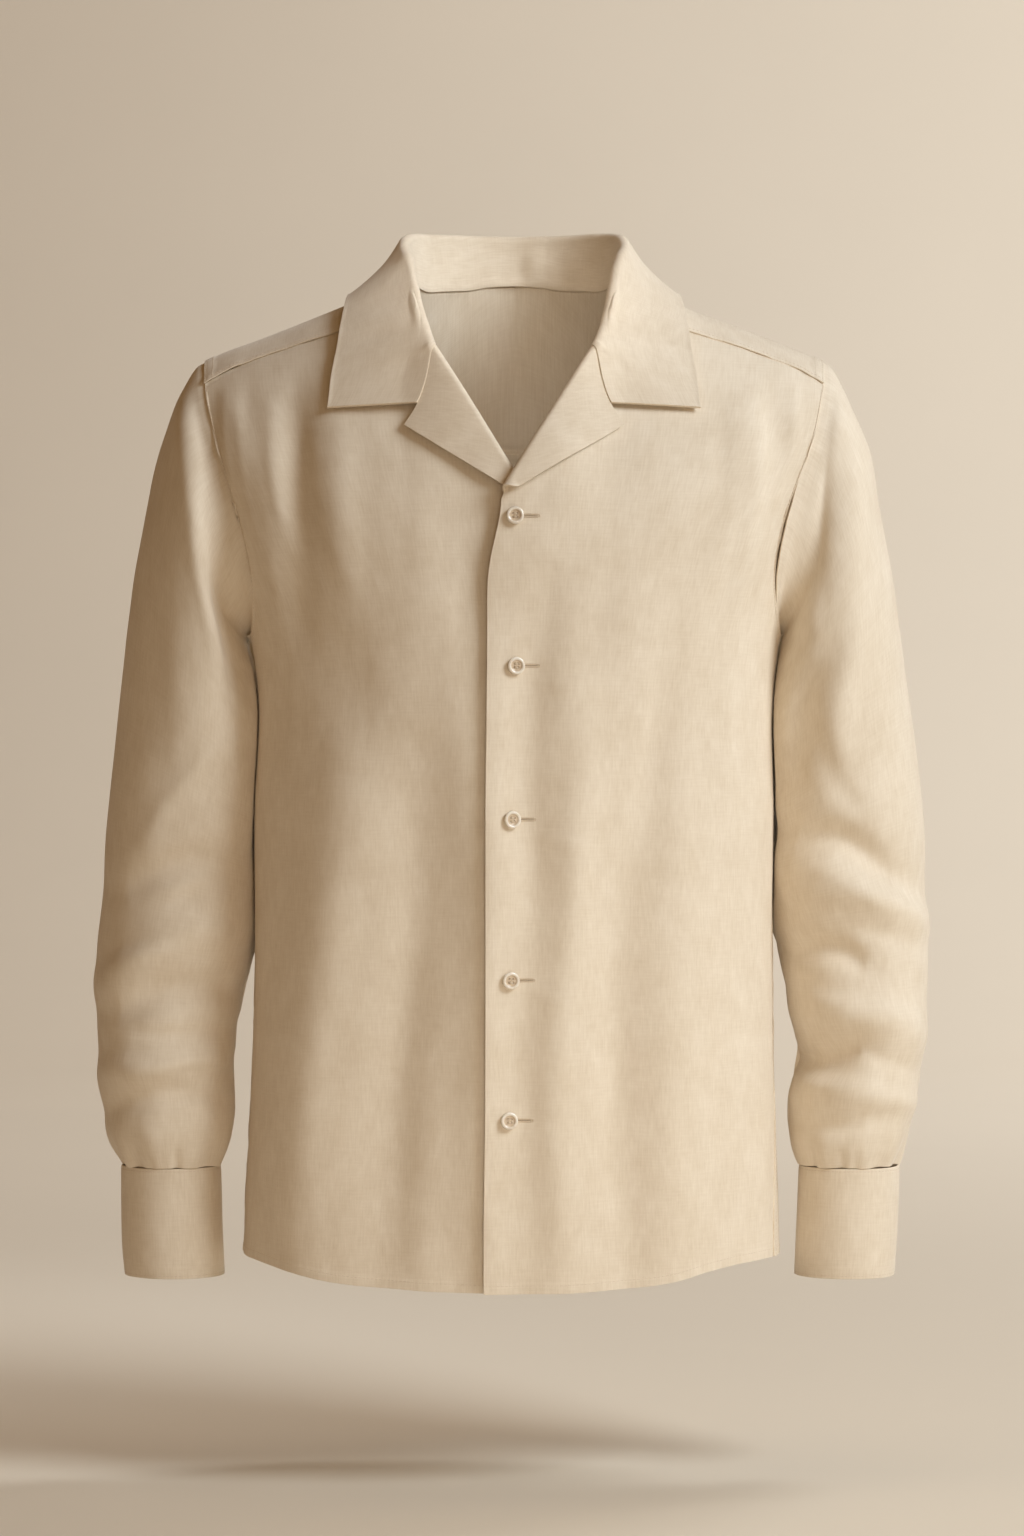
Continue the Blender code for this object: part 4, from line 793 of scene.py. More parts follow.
def end_to_end(*lines):
    """Lines given as (x, height) joined, each starting where the last one ends."""
    x = np.concatenate([lines[0][0]] + [line[0][1:] for line in lines[1:]])
    z = np.concatenate([lines[0][1]] + [line[1][1:] for line in lines[1:]])
    return x, z


def side_girth(z, side):
    """Girth of the side seam: the wearer's left one swings forward towards the hem."""
    forward = SIDE_SEAM_SWING * ease(-z, -SIDE_SWING_FROM, -SIDE_SWING_TO) if side > 0 else 0.0
    return 1 - forward + np.zeros_like(z)


def overlap_shift(x, z, side):
    """How far a front stands out or lies in near the centre, so one passes the other."""
    near = 1 - ease(np.abs(x), 26 * MM, 72 * MM)
    below_gorge = 1 - ease(z, -150 * MM, -90 * MM)
    near_break = ease(z, -270 * MM, -195 * MM)
    lift = TOP_FRONT_LIFT + 3.4 * MM * near_break if side > 0 else -UNDER_FRONT_SINK
    return lift * near * below_gorge


def front_cloth(girth, z, side, height=0.0, folds=True):
    """Points of a front by its own girth (towards its side seam) and height."""
    x = body_at(side * girth, z)[..., 0]
    return body_cloth(side * girth, z, height + overlap_shift(x, z, side), folds)


def roll_direction():
    """Unit vectors in the plane of the front: down the roll line, and away from it."""
    down = np.array([BREAK_ACROSS - GORGE[0], BREAK_HEIGHT - GORGE[1]])
    down = down / np.linalg.norm(down)
    return down, np.array([-down[1], down[0]])


def lapel_sizes():
    """Width of the full lapel past its roll, and how far its corner slides down the roll."""
    down, out = roll_direction()
    point = np.array([LAPEL_POINT[0] - GORGE[0], LAPEL_POINT[1] - GORGE[1]])
    return point @ out, point @ down


def lapel_place(past, rise):
    """Where cloth `past` the roll line lies: x, height and how far above the front.

    It goes first round an arc, then straight back over the front; it also slides down
    the roll line, as the lapel's edge is slanted.
    """
    roll_x = BREAK_ACROSS + (GORGE[0] - BREAK_ACROSS) * rise
    roll_z = BREAK_HEIGHT + (GORGE[1] - BREAK_HEIGHT) * rise
    down, out = roll_direction()
    wide, slide = (size * rise for size in lapel_sizes())
    turn = math.pi * ease(rise, 0.0, 0.15)
    arc = turn * ROLL_RADIUS
    angle = np.clip(past / ROLL_RADIUS, 0, turn)
    flat = np.clip(past - arc, 0, None)
    reach = ROLL_RADIUS * np.sin(angle) + flat * np.cos(turn) + np.minimum(past, 0)
    height = ROLL_RADIUS * (1 - np.cos(angle)) + flat * np.sin(turn)
    across = np.clip(past, 0, None) / np.maximum(arc + wide, 1e-6)
    share = flat / np.maximum(wide, 1e-6)
    height = height - LAPEL_SETTLE * share ** 2 * ease(rise, 0.25, 0.8)
    bow = LAPEL_BOW * np.sin(math.pi * share) * rise ** 6
    x = roll_x - out[0] * reach + down[0] * (slide * across + bow)
    z = roll_z - out[1] * reach + down[1] * (slide * across + bow)
    return x, z, height


# ---------------------------------------------------------------- fronts
def front_top():
    """Top edge of a front: x, height, and the share of the girth each column keeps below."""
    neck_x, turn = neck_line(np.linspace(0, YOKE_ALONG_NECK, NECK_STEPS + 1))
    neck = (neck_x, arch_at(neck_x, turn)[..., 2])
    seam = yoke_line(np.linspace(0, 1, YOKE_SEAM_STEPS + 1))
    x, z = end_to_end(neck, seam, armhole_points(YOKE_ARM_FRONT, 1, ARM_FRONT_STEPS))
    arm = crowded(ARM_FRONT_STEPS, ARM_RUN, end=1.0, fine=SEAM_FINE)
    shares = np.concatenate([np.linspace(0, FRONT_NECK_SHARE, NECK_STEPS + 1),
                             np.linspace(FRONT_NECK_SHARE, FRONT_ARM_SHARE, YOKE_SEAM_STEPS + 1)[1:],
                             FRONT_ARM_SHARE + (1 - FRONT_ARM_SHARE) * arm[1:]])
    return x, z, shares


def lapel_layout(rise):
    """Lapel columns from its outer edge to the roll line: how far past the roll they are."""
    wide = lapel_sizes()[0] * rise
    count = TURN_STEPS + FLAT_STEPS
    column = np.arange(count)[None, :]
    flat_share = 1 - crowded(FLAT_STEPS, lapel_sizes()[0], start=1.0)[np.minimum(column, FLAT_STEPS)]
    arc_share = np.clip((count - column) / TURN_STEPS, 0, 1)
    arc = math.pi * ease(rise, 0.0, 0.15) * ROLL_RADIUS
    settled = ease(rise, 0, 0.12)
    return settled * (arc * arc_share + wide * flat_share) - (1 - settled) * LAPEL_STRIP * column / count


def front_grid(side):
    """One front: rows from the hem to neck, yoke and armhole, columns from its edge out.

    Returns the points and their places in the flat cloth.
    """
    top_x, top_z, shares = front_top()
    count = TURN_STEPS + FLAT_STEPS
    start = girth_at(BREAK_ACROSS + LAPEL_STRIP, BREAK_HEIGHT)
    middle_girth = start + (1 - start) * shares ** 0.85
    middle_z = BREAK_HEIGHT - 155 * MM * ease(shares, 0, 1)

    rise = crowded(FRONT_LOW_ROWS - 1, -HEM["height"][0] + BREAK_HEIGHT, start=1.0)[:, None]
    edge = BREAK_ACROSS - (EDGE_FROM_CENTRE + BREAK_ACROSS) * (1 - ease(rise, 0.84, 1.0) ** 2)
    inner = edge + LAPEL_STRIP + 15 * MM * (1 - ease(rise, 0.7, 1.0))
    hem_x = HEM_HALF * np.interp(shares ** 0.95, GIRTH, GIRTH_WIDTH)
    base = hem_height(hem_x)
    z = base + (middle_z - base) * rise
    low_start = girth_at(inner, z[:, :1])
    girth = low_start + (side_girth(z, side) - low_start) * shares ** (0.95 - 0.10 * rise)
    strip = np.linspace(0, 1, count + 1)[:-1][None, :]
    strip_x = edge + (inner - edge) * strip
    strip_z = hem_height(strip_x) + (BREAK_HEIGHT - hem_height(strip_x)) * rise
    low_girth = np.concatenate([girth_at(strip_x, strip_z), girth], axis=1)
    low_z = np.concatenate([strip_z, z], axis=1)
    low = front_cloth(low_girth, low_z, side)
    low_flat = np.stack([low_girth * QUARTER_GIRTH, low_z], axis=-1)

    rise = crowded(FRONT_HIGH_ROWS, 160 * MM, end=1.0)[1:, None]
    top_girth = girth_at(top_x, top_z)
    girth = middle_girth + (top_girth - middle_girth) * rise
    z = middle_z + (top_z - middle_z) * rise
    aside = LAPEL_STRIP * (1 - ease(rise, 0, 0.12))
    line = girth_at(BREAK_ACROSS + (GORGE[0] - BREAK_ACROSS) * rise + aside, z[:, :1])
    girth = girth + (line - girth[:, :1]) * (1 - shares[None, :]) ** 6
    panel = front_cloth(girth, z, side)
    past = lapel_layout(rise)
    lapel_x, lapel_z, height = lapel_place(past, rise)
    curl = lapel_curl(past, rise, side)
    lapel = front_cloth(girth_at(lapel_x, lapel_z), lapel_z, side, height + curl, folds=False)
    high = np.concatenate([lapel, panel], axis=1)
    away = roll_direction()[1]
    flat_x = BREAK_ACROSS + (GORGE[0] - BREAK_ACROSS) * rise - away[0] * past
    flat_z = BREAK_HEIGHT + (GORGE[1] - BREAK_HEIGHT) * rise - away[1] * past
    lapel_flat = np.stack([flat_x, flat_z], axis=-1)
    panel_flat = np.stack([girth * QUARTER_GIRTH, z + 0 * girth], axis=-1)
    high_flat = np.concatenate([lapel_flat, panel_flat], axis=1)
    return np.concatenate([low, high]), np.concatenate([low_flat, high_flat])


def lapel_curl(past, rise, side):
    """Soft wave of a lapel that was turned over by hand, stronger towards its edge."""
    wide = np.maximum(lapel_sizes()[0] * rise, 1 * MM)
    share = np.clip(past / wide, 0, 1)
    wave = soft_noise(past + 0 * rise, rise * 150 * MM + 0 * past, 30 * MM, 46 * MM, 61 + side)
    return LAPEL_WAVE * wave * share * (1 - 0.6 * share) * ease(rise, 0.1, 0.4)


def pucker(run, along, seed, amount=0.3 * MM, reach=11 * MM):
    """Small gathers beside a line of stitches, fading away from it."""
    near = np.exp(-(run / reach) ** 2)
    return amount * near * (soft_noise(along, run, 7 * MM, 16 * MM, seed)
                            + 0.6 * soft_noise(along, run, 17 * MM, 30 * MM, seed + 1))


def groove(run, distance, depth=0.22 * MM, width=0.8 * MM):
    """The line that a row of stitches presses into cloth at a distance from an edge."""
    return -depth * np.exp(-((run - distance) / width) ** 2)


def hem_band(run, along, seed):
    """Turned hem: a thicker band that twists a little, with its stitches' line."""
    band = turned_edge(run, HEM_WIDTH, 0.45 * MM)
    inside = 1 - ease(run, HEM_STITCH, HEM_WIDTH + 4 * MM)
    twist = 0.22 * MM * inside * soft_noise(along + 0.7 * run, run, 6 * MM, 30 * MM, seed)
    return band + twist + groove(run, HEM_STITCH)


def arm_band(run, along, seed):
    """Band along an armhole, with the lines of its two rows of stitches."""
    lines = sum(groove(run, distance) for distance in ARM_STITCHES)
    return turned_edge(run, ARM_BAND, BAND_RISE) + lines + pucker(run, along, seed)


def under_yoke_edge(run):
    """Cloth drawn in where the yoke's edge lies on it."""
    return -SEAM_SINK * (1 - ease(run, 2 * MM, 7 * MM))


def yoke_edge(run):
    """Turned edge of the yoke, with its stitches' line."""
    return YOKE_RISE * (1 - ease(run, 3 * MM, 8 * MM)) + groove(run, YOKE_STITCH)


@functools.cache
def front_shape(side):
    """A front with its hem, seams and the band along the armhole: points, normals, flat."""
    grid, flat = front_grid(side)
    out = grid_normals(grid, side)
    top, low = run_from(grid, "top"), run_from(grid, "bottom")
    edge, seam = run_from(grid, "left"), run_from(grid, "right")
    column = np.arange(grid.shape[1])[None, :] - (TURN_STEPS + FLAT_STEPS)
    under_yoke = ease(column, NECK_STEPS - 2, NECK_STEPS + 2) * (1 - ease(
        column, NECK_STEPS + YOKE_SEAM_STEPS - 1, NECK_STEPS + YOKE_SEAM_STEPS + 1))
    at_arm = ease(column, NECK_STEPS + YOKE_SEAM_STEPS, NECK_STEPS + YOKE_SEAM_STEPS + 3)
    panel = ease(column, 0, 3)
    u, v = flat[..., 0], flat[..., 1]
    height = under_yoke * (under_yoke_edge(top) + pucker(top, u, 71 + side) * YOKE_PUCKER)
    height = height + at_arm * arm_band(top, v, 75 + side)
    height = height + panel * (pucker(seam, v, 81 + side) + groove(seam, 0, 0.45 * MM, 1.6 * MM))
    height = height + hem_band(low, u, 85 + side)
    height = height + 0.12 * MM * soft_noise(edge, v, 9 * MM, 12 * MM, 90 + side) * np.exp(-edge / (9 * MM))
    grid = grid + out * height[..., None]
    return grid, grid_normals(grid, side), flat


# ---------------------------------------------------------------- back and yoke
@functools.cache
def back_shape():
    """The back from its left side seam to the right one: points, normals, flat."""
    halves = [half_back(side) for side in (1, -1)]
    left, right = (body_cloth(girth, z) for girth, z in halves)
    grid = np.concatenate([left[:, ::-1], right[:, 1:]], axis=1)
    flat_left, flat_right = (np.stack([girth * QUARTER_GIRTH, z], axis=-1) for girth, z in halves)
    flat_right[..., 0] += 4 * QUARTER_GIRTH
    flat = np.concatenate([flat_left[:, ::-1], flat_right[:, 1:]], axis=1)
    out = grid_normals(grid)
    top, low = run_from(grid, "top"), run_from(grid, "bottom")
    left_seam, right_seam = run_from(grid, "left"), run_from(grid, "right")
    column = np.abs(np.arange(grid.shape[1]) - (grid.shape[1] - 1) / 2)[None, :]
    at_arm = ease(column, BACK_YOKE_STEPS, BACK_YOKE_STEPS + 3)
    u, v = flat[..., 0], flat[..., 1]
    height = (1 - at_arm) * (under_yoke_edge(top) + pucker(top, u, 101)) + at_arm * arm_band(top, v, 105)
    for seam, seed in ((left_seam, 111), (right_seam, 115)):
        felled = turned_edge(seam, SIDE_BAND, 0.5 * MM) + groove(seam, SIDE_STITCH)
        height = height + felled + pucker(seam, v, seed)
    height = height + hem_band(low, u, 119)
    grid = grid + out * height[..., None]
    return grid, grid_normals(grid), flat


def half_back(side):
    """Half the back from the centre to its side seam: girth and height of its points."""
    seam = back_yoke_line(np.linspace(0, 1, BACK_YOKE_STEPS + 1))
    top_x, top_z = end_to_end(seam, armhole_points(YOKE_ARM_BACK, 1, ARM_BACK_STEPS))
    arm = crowded(ARM_BACK_STEPS, ARM_RUN, end=1.0, fine=SEAM_FINE)
    shares = np.concatenate([np.linspace(0, BACK_ARM_SHARE, BACK_YOKE_STEPS + 1),
                             BACK_ARM_SHARE + (1 - BACK_ARM_SHARE) * arm[1:]])
    rise = crowded(BACK_ROWS - 1, 600 * MM, start=1.0, end=1.0)[:, None]
    middle = 0.72
    low = np.clip(rise / middle, 0, 1)
    high = np.clip((rise - middle) / (1 - middle), 0, 1)
    hem_z = hem_height(HEM_HALF * np.interp(shares, GIRTH, GIRTH_WIDTH))
    middle_z = -250 * MM - 80 * MM * ease(shares, 0, 1)
    z = hem_z + (middle_z - hem_z) * low + (top_z - middle_z) * high
    top_girth = 2 - girth_at(top_x, top_z)
    low_girth = 2 - shares * (2 - side_girth(z, side))
    girth = low_girth + (top_girth - low_girth) * high
    return side * girth, z


def yoke_neck_shares():
    """Where the yoke's columns meet the neck seam, from its front seam to the back."""
    ends = np.cumsum([0, ARM_YOKE_FRONT_STEPS, ARM_YOKE_BACK_STEPS, BACK_YOKE_STEPS])
    return np.interp(np.arange(ends[-1] + 1), ends, [YOKE_ALONG_NECK, 0.42, 0.58, 1.0])


def yoke_outer():
    """Outer edge of half the yoke: up the armhole, down behind, along the back seam."""
    front_x, front_z = armhole_points(0, YOKE_ARM_FRONT, ARM_YOKE_FRONT_STEPS)
    back_x, back_z = armhole_points(0, YOKE_ARM_BACK, ARM_YOKE_BACK_STEPS)
    seam_x, seam_z = back_yoke_line(np.linspace(1, 0, BACK_YOKE_STEPS + 1))
    x = np.concatenate([front_x[::-1], back_x[1:], seam_x[1:]])
    turn = np.concatenate([arch_turn(front_x, front_z)[::-1],
                           math.pi - arch_turn(back_x[1:], back_z[1:]),
                           math.pi - arch_turn(seam_x[1:], seam_z[1:])])
    return x, turn


@functools.cache
def yoke_shape():
    """The yoke over both shoulders, its turned edges lying on fronts and back."""
    neck_x, neck_turn = neck_line(yoke_neck_shares())
    outer_x, outer_turn = yoke_outer()
    out_share = crowded(YOKE_ROWS, 150 * MM, end=1.0)[:, None]
    x = neck_x + (outer_x - neck_x) * out_share
    turn = neck_turn + (outer_turn - neck_turn) * out_share
    seam_x, seam_z = yoke_line(out_share)
    near_seam = np.clip(1 - np.arange(len(neck_x)) / ARM_YOKE_FRONT_STEPS, 0, 1)[None, :]
    x = x + (seam_x - x[:, :1]) * near_seam
    turn = turn + (arch_turn(seam_x, seam_z) - turn[:, :1]) * near_seam
    half = arch_at(x, turn)
    half_flat = np.stack([x, turn * SHOULDER_RADIUS], axis=-1)
    grid = np.concatenate([half, half[:, ::-1][:, 1:] * np.array([-1.0, 1.0, 1.0])], axis=1)[:, ::-1]
    flat = np.concatenate([half_flat, half_flat[:, ::-1][:, 1:] * np.array([-1.0, 1.0])], axis=1)[:, ::-1]
    out = grid_normals(grid)
    rim, left, right = (run_from(grid, name) for name in ("top", "left", "right"))
    column = np.minimum(np.arange(grid.shape[1]), grid.shape[1] - 1 - np.arange(grid.shape[1]))[None, :]
    arm_end = ARM_YOKE_FRONT_STEPS + ARM_YOKE_BACK_STEPS
    behind = ease(column, arm_end - 1, arm_end + 1)
    u, v = flat[..., 0], flat[..., 1]
    height = ripple(u, v, 131, 0.8)
    height = height + behind * (yoke_edge(rim) + pucker(rim, u, 135)) + (1 - behind) * arm_band(rim, v, 139)
    for seam, seed in ((left, 143), (right, 147)):
        height = height + yoke_edge(seam) + pucker(seam, u, seed) * YOKE_PUCKER
    grid = grid + out * height[..., None]
    grid[:, 0] += unit(grid[:, 0] - grid[:, 1]) * YOKE_LAP
    grid[:, -1] += unit(grid[:, -1] - grid[:, -2]) * YOKE_LAP
    grid[-1] += unit(grid[-1] - grid[-2]) * YOKE_LAP * behind[0][:, None]
    return grid, grid_normals(grid), flat


# ---------------------------------------------------------------- sleeves and cuffs
def armhole_ring(side):
    """The armhole's own points: top, front, underarm, back; with the way on from there."""
    lines = ((0, YOKE_ARM_FRONT, ARM_YOKE_FRONT_STEPS, 0), (YOKE_ARM_FRONT, 1, ARM_FRONT_STEPS, 0),
             (0, YOKE_ARM_BACK, ARM_YOKE_BACK_STEPS, 1), (YOKE_ARM_BACK, 1, ARM_BACK_STEPS, 1))
    points, outs = [], []
    for begin, end, steps, back in lines:
        x, z = armhole_points(begin, end, steps)
        girth = girth_at(x, z)
        girth = side * (2 - girth if back else girth)
        points.append(body_at(girth, z))
        outs.append(body_normal(girth, z - 1 * MM))
    front = np.concatenate([points[0], points[1][1:]])
    back = np.concatenate([points[2], points[3][1:]])
    front_out = np.concatenate([outs[0], outs[1][1:]])
    back_out = np.concatenate([outs[2], outs[3][1:]])
    ring = np.concatenate([front, back[-2:0:-1]])
    out = np.concatenate([front_out, back_out[-2:0:-1]])
    out[0] = unit(front_out[0] + back_out[0])
    along = np.roll(ring, -1, axis=0) - np.roll(ring, 1, axis=0)
    return ring, unit(np.cross(out, along)) * side


def ring_turns(ring):
    """The turn of each ring point: 0 at the top, half a turn at the underarm."""
    length = path_length(np.concatenate([ring, ring[:1]]))
    under = ARM_YOKE_FRONT_STEPS + ARM_FRONT_STEPS
    return np.interp(length[:-1], [0, length[under], length[-1]], [0, math.pi, 2 * math.pi])


def section_ring(rows, index, turn, side):
    """One oval section of a sleeve or cuff."""
    out = np.array([rows["out_x"][index], 0, rows["out_z"][index]])
    inner = np.array([rows["in_x"][index], 0, rows["in_z"][index]])
    middle = (out + inner) / 2 + np.array([0, rows["middle_y"][index], 0])
    half = (out - inner) / 2
    ring = middle + half * np.cos(turn)[:, None]
    ring[:, 1] -= rows["half_depth"][index] * np.sin(turn)
    swing = LEFT_SLEEVE_IN * ease(-ring[:, 2], -SWING_FROM, 640 * MM) if side > 0 else 0
    ring[:, 0] = side * (ring[:, 0] - swing)
    return ring


def outside_body(points, clearance):
    """Points below the armhole pushed out of the body tube, with room to spare."""
    x, y, z = points[..., 0], points[..., 1], points[..., 2]
    room = clearance * ease(-z, -UNDERARM_HEIGHT, -UNDERARM_HEIGHT + 14 * MM)
    wide = body_size("half_width", z) + room + body_size("shift", z) * np.sign(x)
    deep = np.where(y < 0, body_size("front", z), body_size("back", z)) + room
    radius = ((np.abs(x) / wide) ** SECTION_POWER + (np.abs(y) / deep) ** SECTION_POWER)
    radius = radius ** (1 / SECTION_POWER)
    below = ease(-z, -UNDERARM_HEIGHT - 1 * MM, -UNDERARM_HEIGHT + 6 * MM)
    scale = 1 + (np.maximum(radius, 1) / radius - 1) * below
    return stack(x * scale, y * scale, z)


def sleeve_base(side):
    """Sleeve without small creases: points, turns and lengths down from the armhole."""
    ring, level = armhole_ring(side)
    turn = ring_turns(ring)
    sections = [section_ring(SLEEVE, index, turn, side) for index in range(len(SLEEVE["out_x"]))]
    toward = unit(sections[0] - ring)
    under = ease(-np.cos(turn), 0.45, 1.0)[:, None]
    first = ring + unit(level * (1 - under) + toward * (0.7 + under)) * SEAM_RUN
    knots_grid = np.stack([ring, first] + sections)
    knots = running(np.linalg.norm(np.diff(knots_grid, axis=0), axis=2).mean(axis=1))
    knots_grid[2:, :, 0] += side * sleeve_nudge(side, knots_grid[2:, :, 2], turn[None, :])
    places = crowded(SLEEVE_ROWS, knots[-1], start=1.0, end=0.6) * knots[-1]
    grid = outside_body(follow(knots, knots_grid, places), CLOTH_CLEARANCE)
    return grid, turn, places


def sleeve_nudge(side, height, turn):
    """Small shift of a sleeve's outer and inner side away from the body, by height."""
    word = "left" if side > 0 else "right"
    outer, inner = (follow(NUDGES["height"][::-1], NUDGES[f"{word}_{way}"][::-1], height)
                    for way in ("out", "in"))
    share = (1 + np.cos(turn)) / 2
    return outer * share + inner * (1 - share)


def mirrored_folds(folds, side):
    """Folds turned round for the wearer's right side."""
    return {name: side * column if name in ("x1", "x2", "bow") else column for name, column in folds.items()}


def ring_normals(grid, side):
    """Normals of a surface whose columns close into a ring."""
    return grid_normals(grid, side, closed=True)


def placket_across(turn):
    """Length round the sleeve from the middle of its placket."""
    return ((turn - CUFF_BEGIN - PLACKET_TURN + math.pi) % (2 * math.pi) - math.pi) * PLACKET_RADIUS


def placket_height(across, up):
    """Bound slit above the cuff behind the wrist: a flat strip with a pointed top."""
    wide = PLACKET_WIDTH / 2
    point = PLACKET_LENGTH - np.abs(across) * PLACKET_POINT
    strip = 1 - ease(np.abs(across), wide - 0.7 * MM, wide + 0.7 * MM)
    strip = strip * (1 - ease(up, point - 1 * MM, point + 1 * MM))
    line = groove(across, -0.30 * wide, 0.5 * MM, 0.9 * MM) * (1 - ease(up, point - 24 * MM, point - 20 * MM))
    return 0.7 * MM * strip + line


@functools.cache
def sleeve_shape(side):
    """Sleeve with its folds, the gathers above the cuff, the underarm seam and placket."""
    grid, turn, places = sleeve_base(side)
    out = ring_normals(grid, side)
    front = RIGHT_SLEEVE_FOLDS if side < 0 else LEFT_SLEEVE_FOLDS
    small = RIGHT_SLEEVE_CREASES if side < 0 else LEFT_SLEEVE_CREASES
    back = mirrored_folds(SLEEVE_BACK_FOLDS, side)
    facing = ease(-out[..., 1], -0.35, 0.35)
    around = ((turn + math.pi) % (2 * math.pi) - math.pi)[None, :] * ARM_RADIUS + 0 * places[:, None]
    down_by = places[:, None] + 0 * around
    x = grid[..., 0] + FOLD_WARP * soft_noise(around, down_by, 40 * MM, 55 * MM, 151 + side)
    z = grid[..., 2] + FOLD_WARP * soft_noise(around, down_by, 48 * MM, 40 * MM, 153 + side)
    lift = (fold_height(front, x, z) + fold_height(small, x, z)) * facing
    lift = lift + fold_height(back, x, z) * (1 - facing)
    down = ease(-z, -GATHERS_FROM, -GATHERS_TO)
    swell = 0.7 + 0.3 * np.sin(3 * turn + side)
    lift = lift * (1 - down) + GATHER_DEPTH * down * np.cos(CUFF_GATHERS * turn) * swell
    to_cuff = places[-1] - down_by
    fine = soft_noise(around, to_cuff, 6.5 * MM, 60 * MM, 157 + side)
    lift = lift + GATHER_FINE * fine * np.exp(-(to_cuff / (15 * MM)) ** 2)
    lift = lift + ripple(around, down_by, 161 + side, 1.15) * ease(to_cuff, 0, 20 * MM)
    away = ease(places, 0, 45 * MM)[:, None]
    lift = lift * (0.15 + 0.85 * away)
    lift = lift - SEAM_SINK * (1 - ease(down_by, 1 * MM, 7 * MM)) + pucker(down_by, around, 165 + side)
    seam = np.abs(np.abs(around) - math.pi * ARM_RADIUS)
    lift = lift + groove(seam, 0, 0.5 * MM, 2 * MM) + pucker(seam, down_by, 171 + side, 0.4 * MM, 9 * MM)
    lift = lift + placket_height(placket_across(turn)[None, :], to_cuff)
    grid = outside_body(grid + out * lift[..., None], CLOTH_CLEARANCE)
    return grid, ring_normals(grid, side), np.stack([around, -down_by], axis=-1), turn


CUFF_BEGIN = 1.5 * math.pi - 0.5
CUFF_LAP_TURN = CUFF_LAP / WRIST_RADIUS


def cuff_cloth(turn, share, side):
    """Cuff points by turn round the wrist and share of the way down."""
    full = CUFF_BEGIN + 2 * math.pi
    raise_by = (WALL + CUFF_WALL_GAP) * ease(turn, full - 0.35, full)
    rings = []
    for index in range(len(CUFF["out_x"])):
        ring = section_ring(CUFF, index, turn, side)
        middle = section_ring(CUFF, index, np.array([0, math.pi]), side).mean(axis=0)
        outward = unit((ring - middle) * np.array([1, 1, 0]))
        rings.append(ring + outward * raise_by[:, None])
    return follow(np.linspace(0, 1, len(rings)), np.stack(rings), share)


@functools.cache
def cuff_shape(side):
    """The cuff goes once round the wrist and laps over itself behind."""
    turn = np.linspace(CUFF_BEGIN, CUFF_BEGIN + 2 * math.pi + CUFF_LAP_TURN, CUFF_COLUMNS)
    share = crowded(CUFF_ROWS, CUFF_TALL, start=1.0, end=1.0)
    grid = cuff_cloth(turn, share, side)
    out = grid_normals(grid, side)
    around = turn[None, :] * WRIST_RADIUS + 0 * share[:, None]
    down = share[:, None] * CUFF_TALL + 0 * around
    full = turn[0] + 2 * math.pi
    apart = 1 - ease(np.abs(turn - full), 0.25, 0.8) - ease(-turn, -turn[0] - 0.5, -turn[0])
    apart = np.clip(apart, 0, 1)
    wave = CUFF_WAVE * soft_noise(around, down, 34 * MM, 60 * MM, 181 + side) * (1 - apart)[None, :]
    lift = wave + 0.5 * ripple(around, down, 185 + side) + groove(down, CUFF_STITCH)
    lift = lift + groove(CUFF_TALL - down, CUFF_STITCH) + groove(down, 0, 0.4 * MM, 1.5 * MM)
    grid = grid + out * lift[..., None]
    return grid, grid_normals(grid, side), np.stack([around, -down], axis=-1)


# ---------------------------------------------------------------- collar
def resampled(path, centre, columns, closeness):
    """A path read at `columns` places, closer together near the length `centre`."""
    length = path_length(path)
    crowd = 1 + closeness * np.exp(-((length - centre) / (8 * MM)) ** 2)
    share = running(crowd[1:] * np.diff(length))
    return read_path(path, share, np.linspace(0, share[-1], columns))


def collar_size(name, share):
    """A column of COLLAR, 0 at the gorge and 1 at the centre back."""
    return follow(COLLAR["share_n"], COLLAR[name], share)


def collar_roll(share):
    """Middle of the collar's roll."""
    return np.stack([collar_size(name, share) for name in ("roll_x", "roll_y", "roll_z")])


def collar_edge(share):
    """Outer edge of the collar, just above the cloth below it."""
    place = arch_at(collar_size("edge_across", share), collar_size("edge_angle", share))
    return clear_of_body(place, COLLAR_EDGE_HEIGHT)


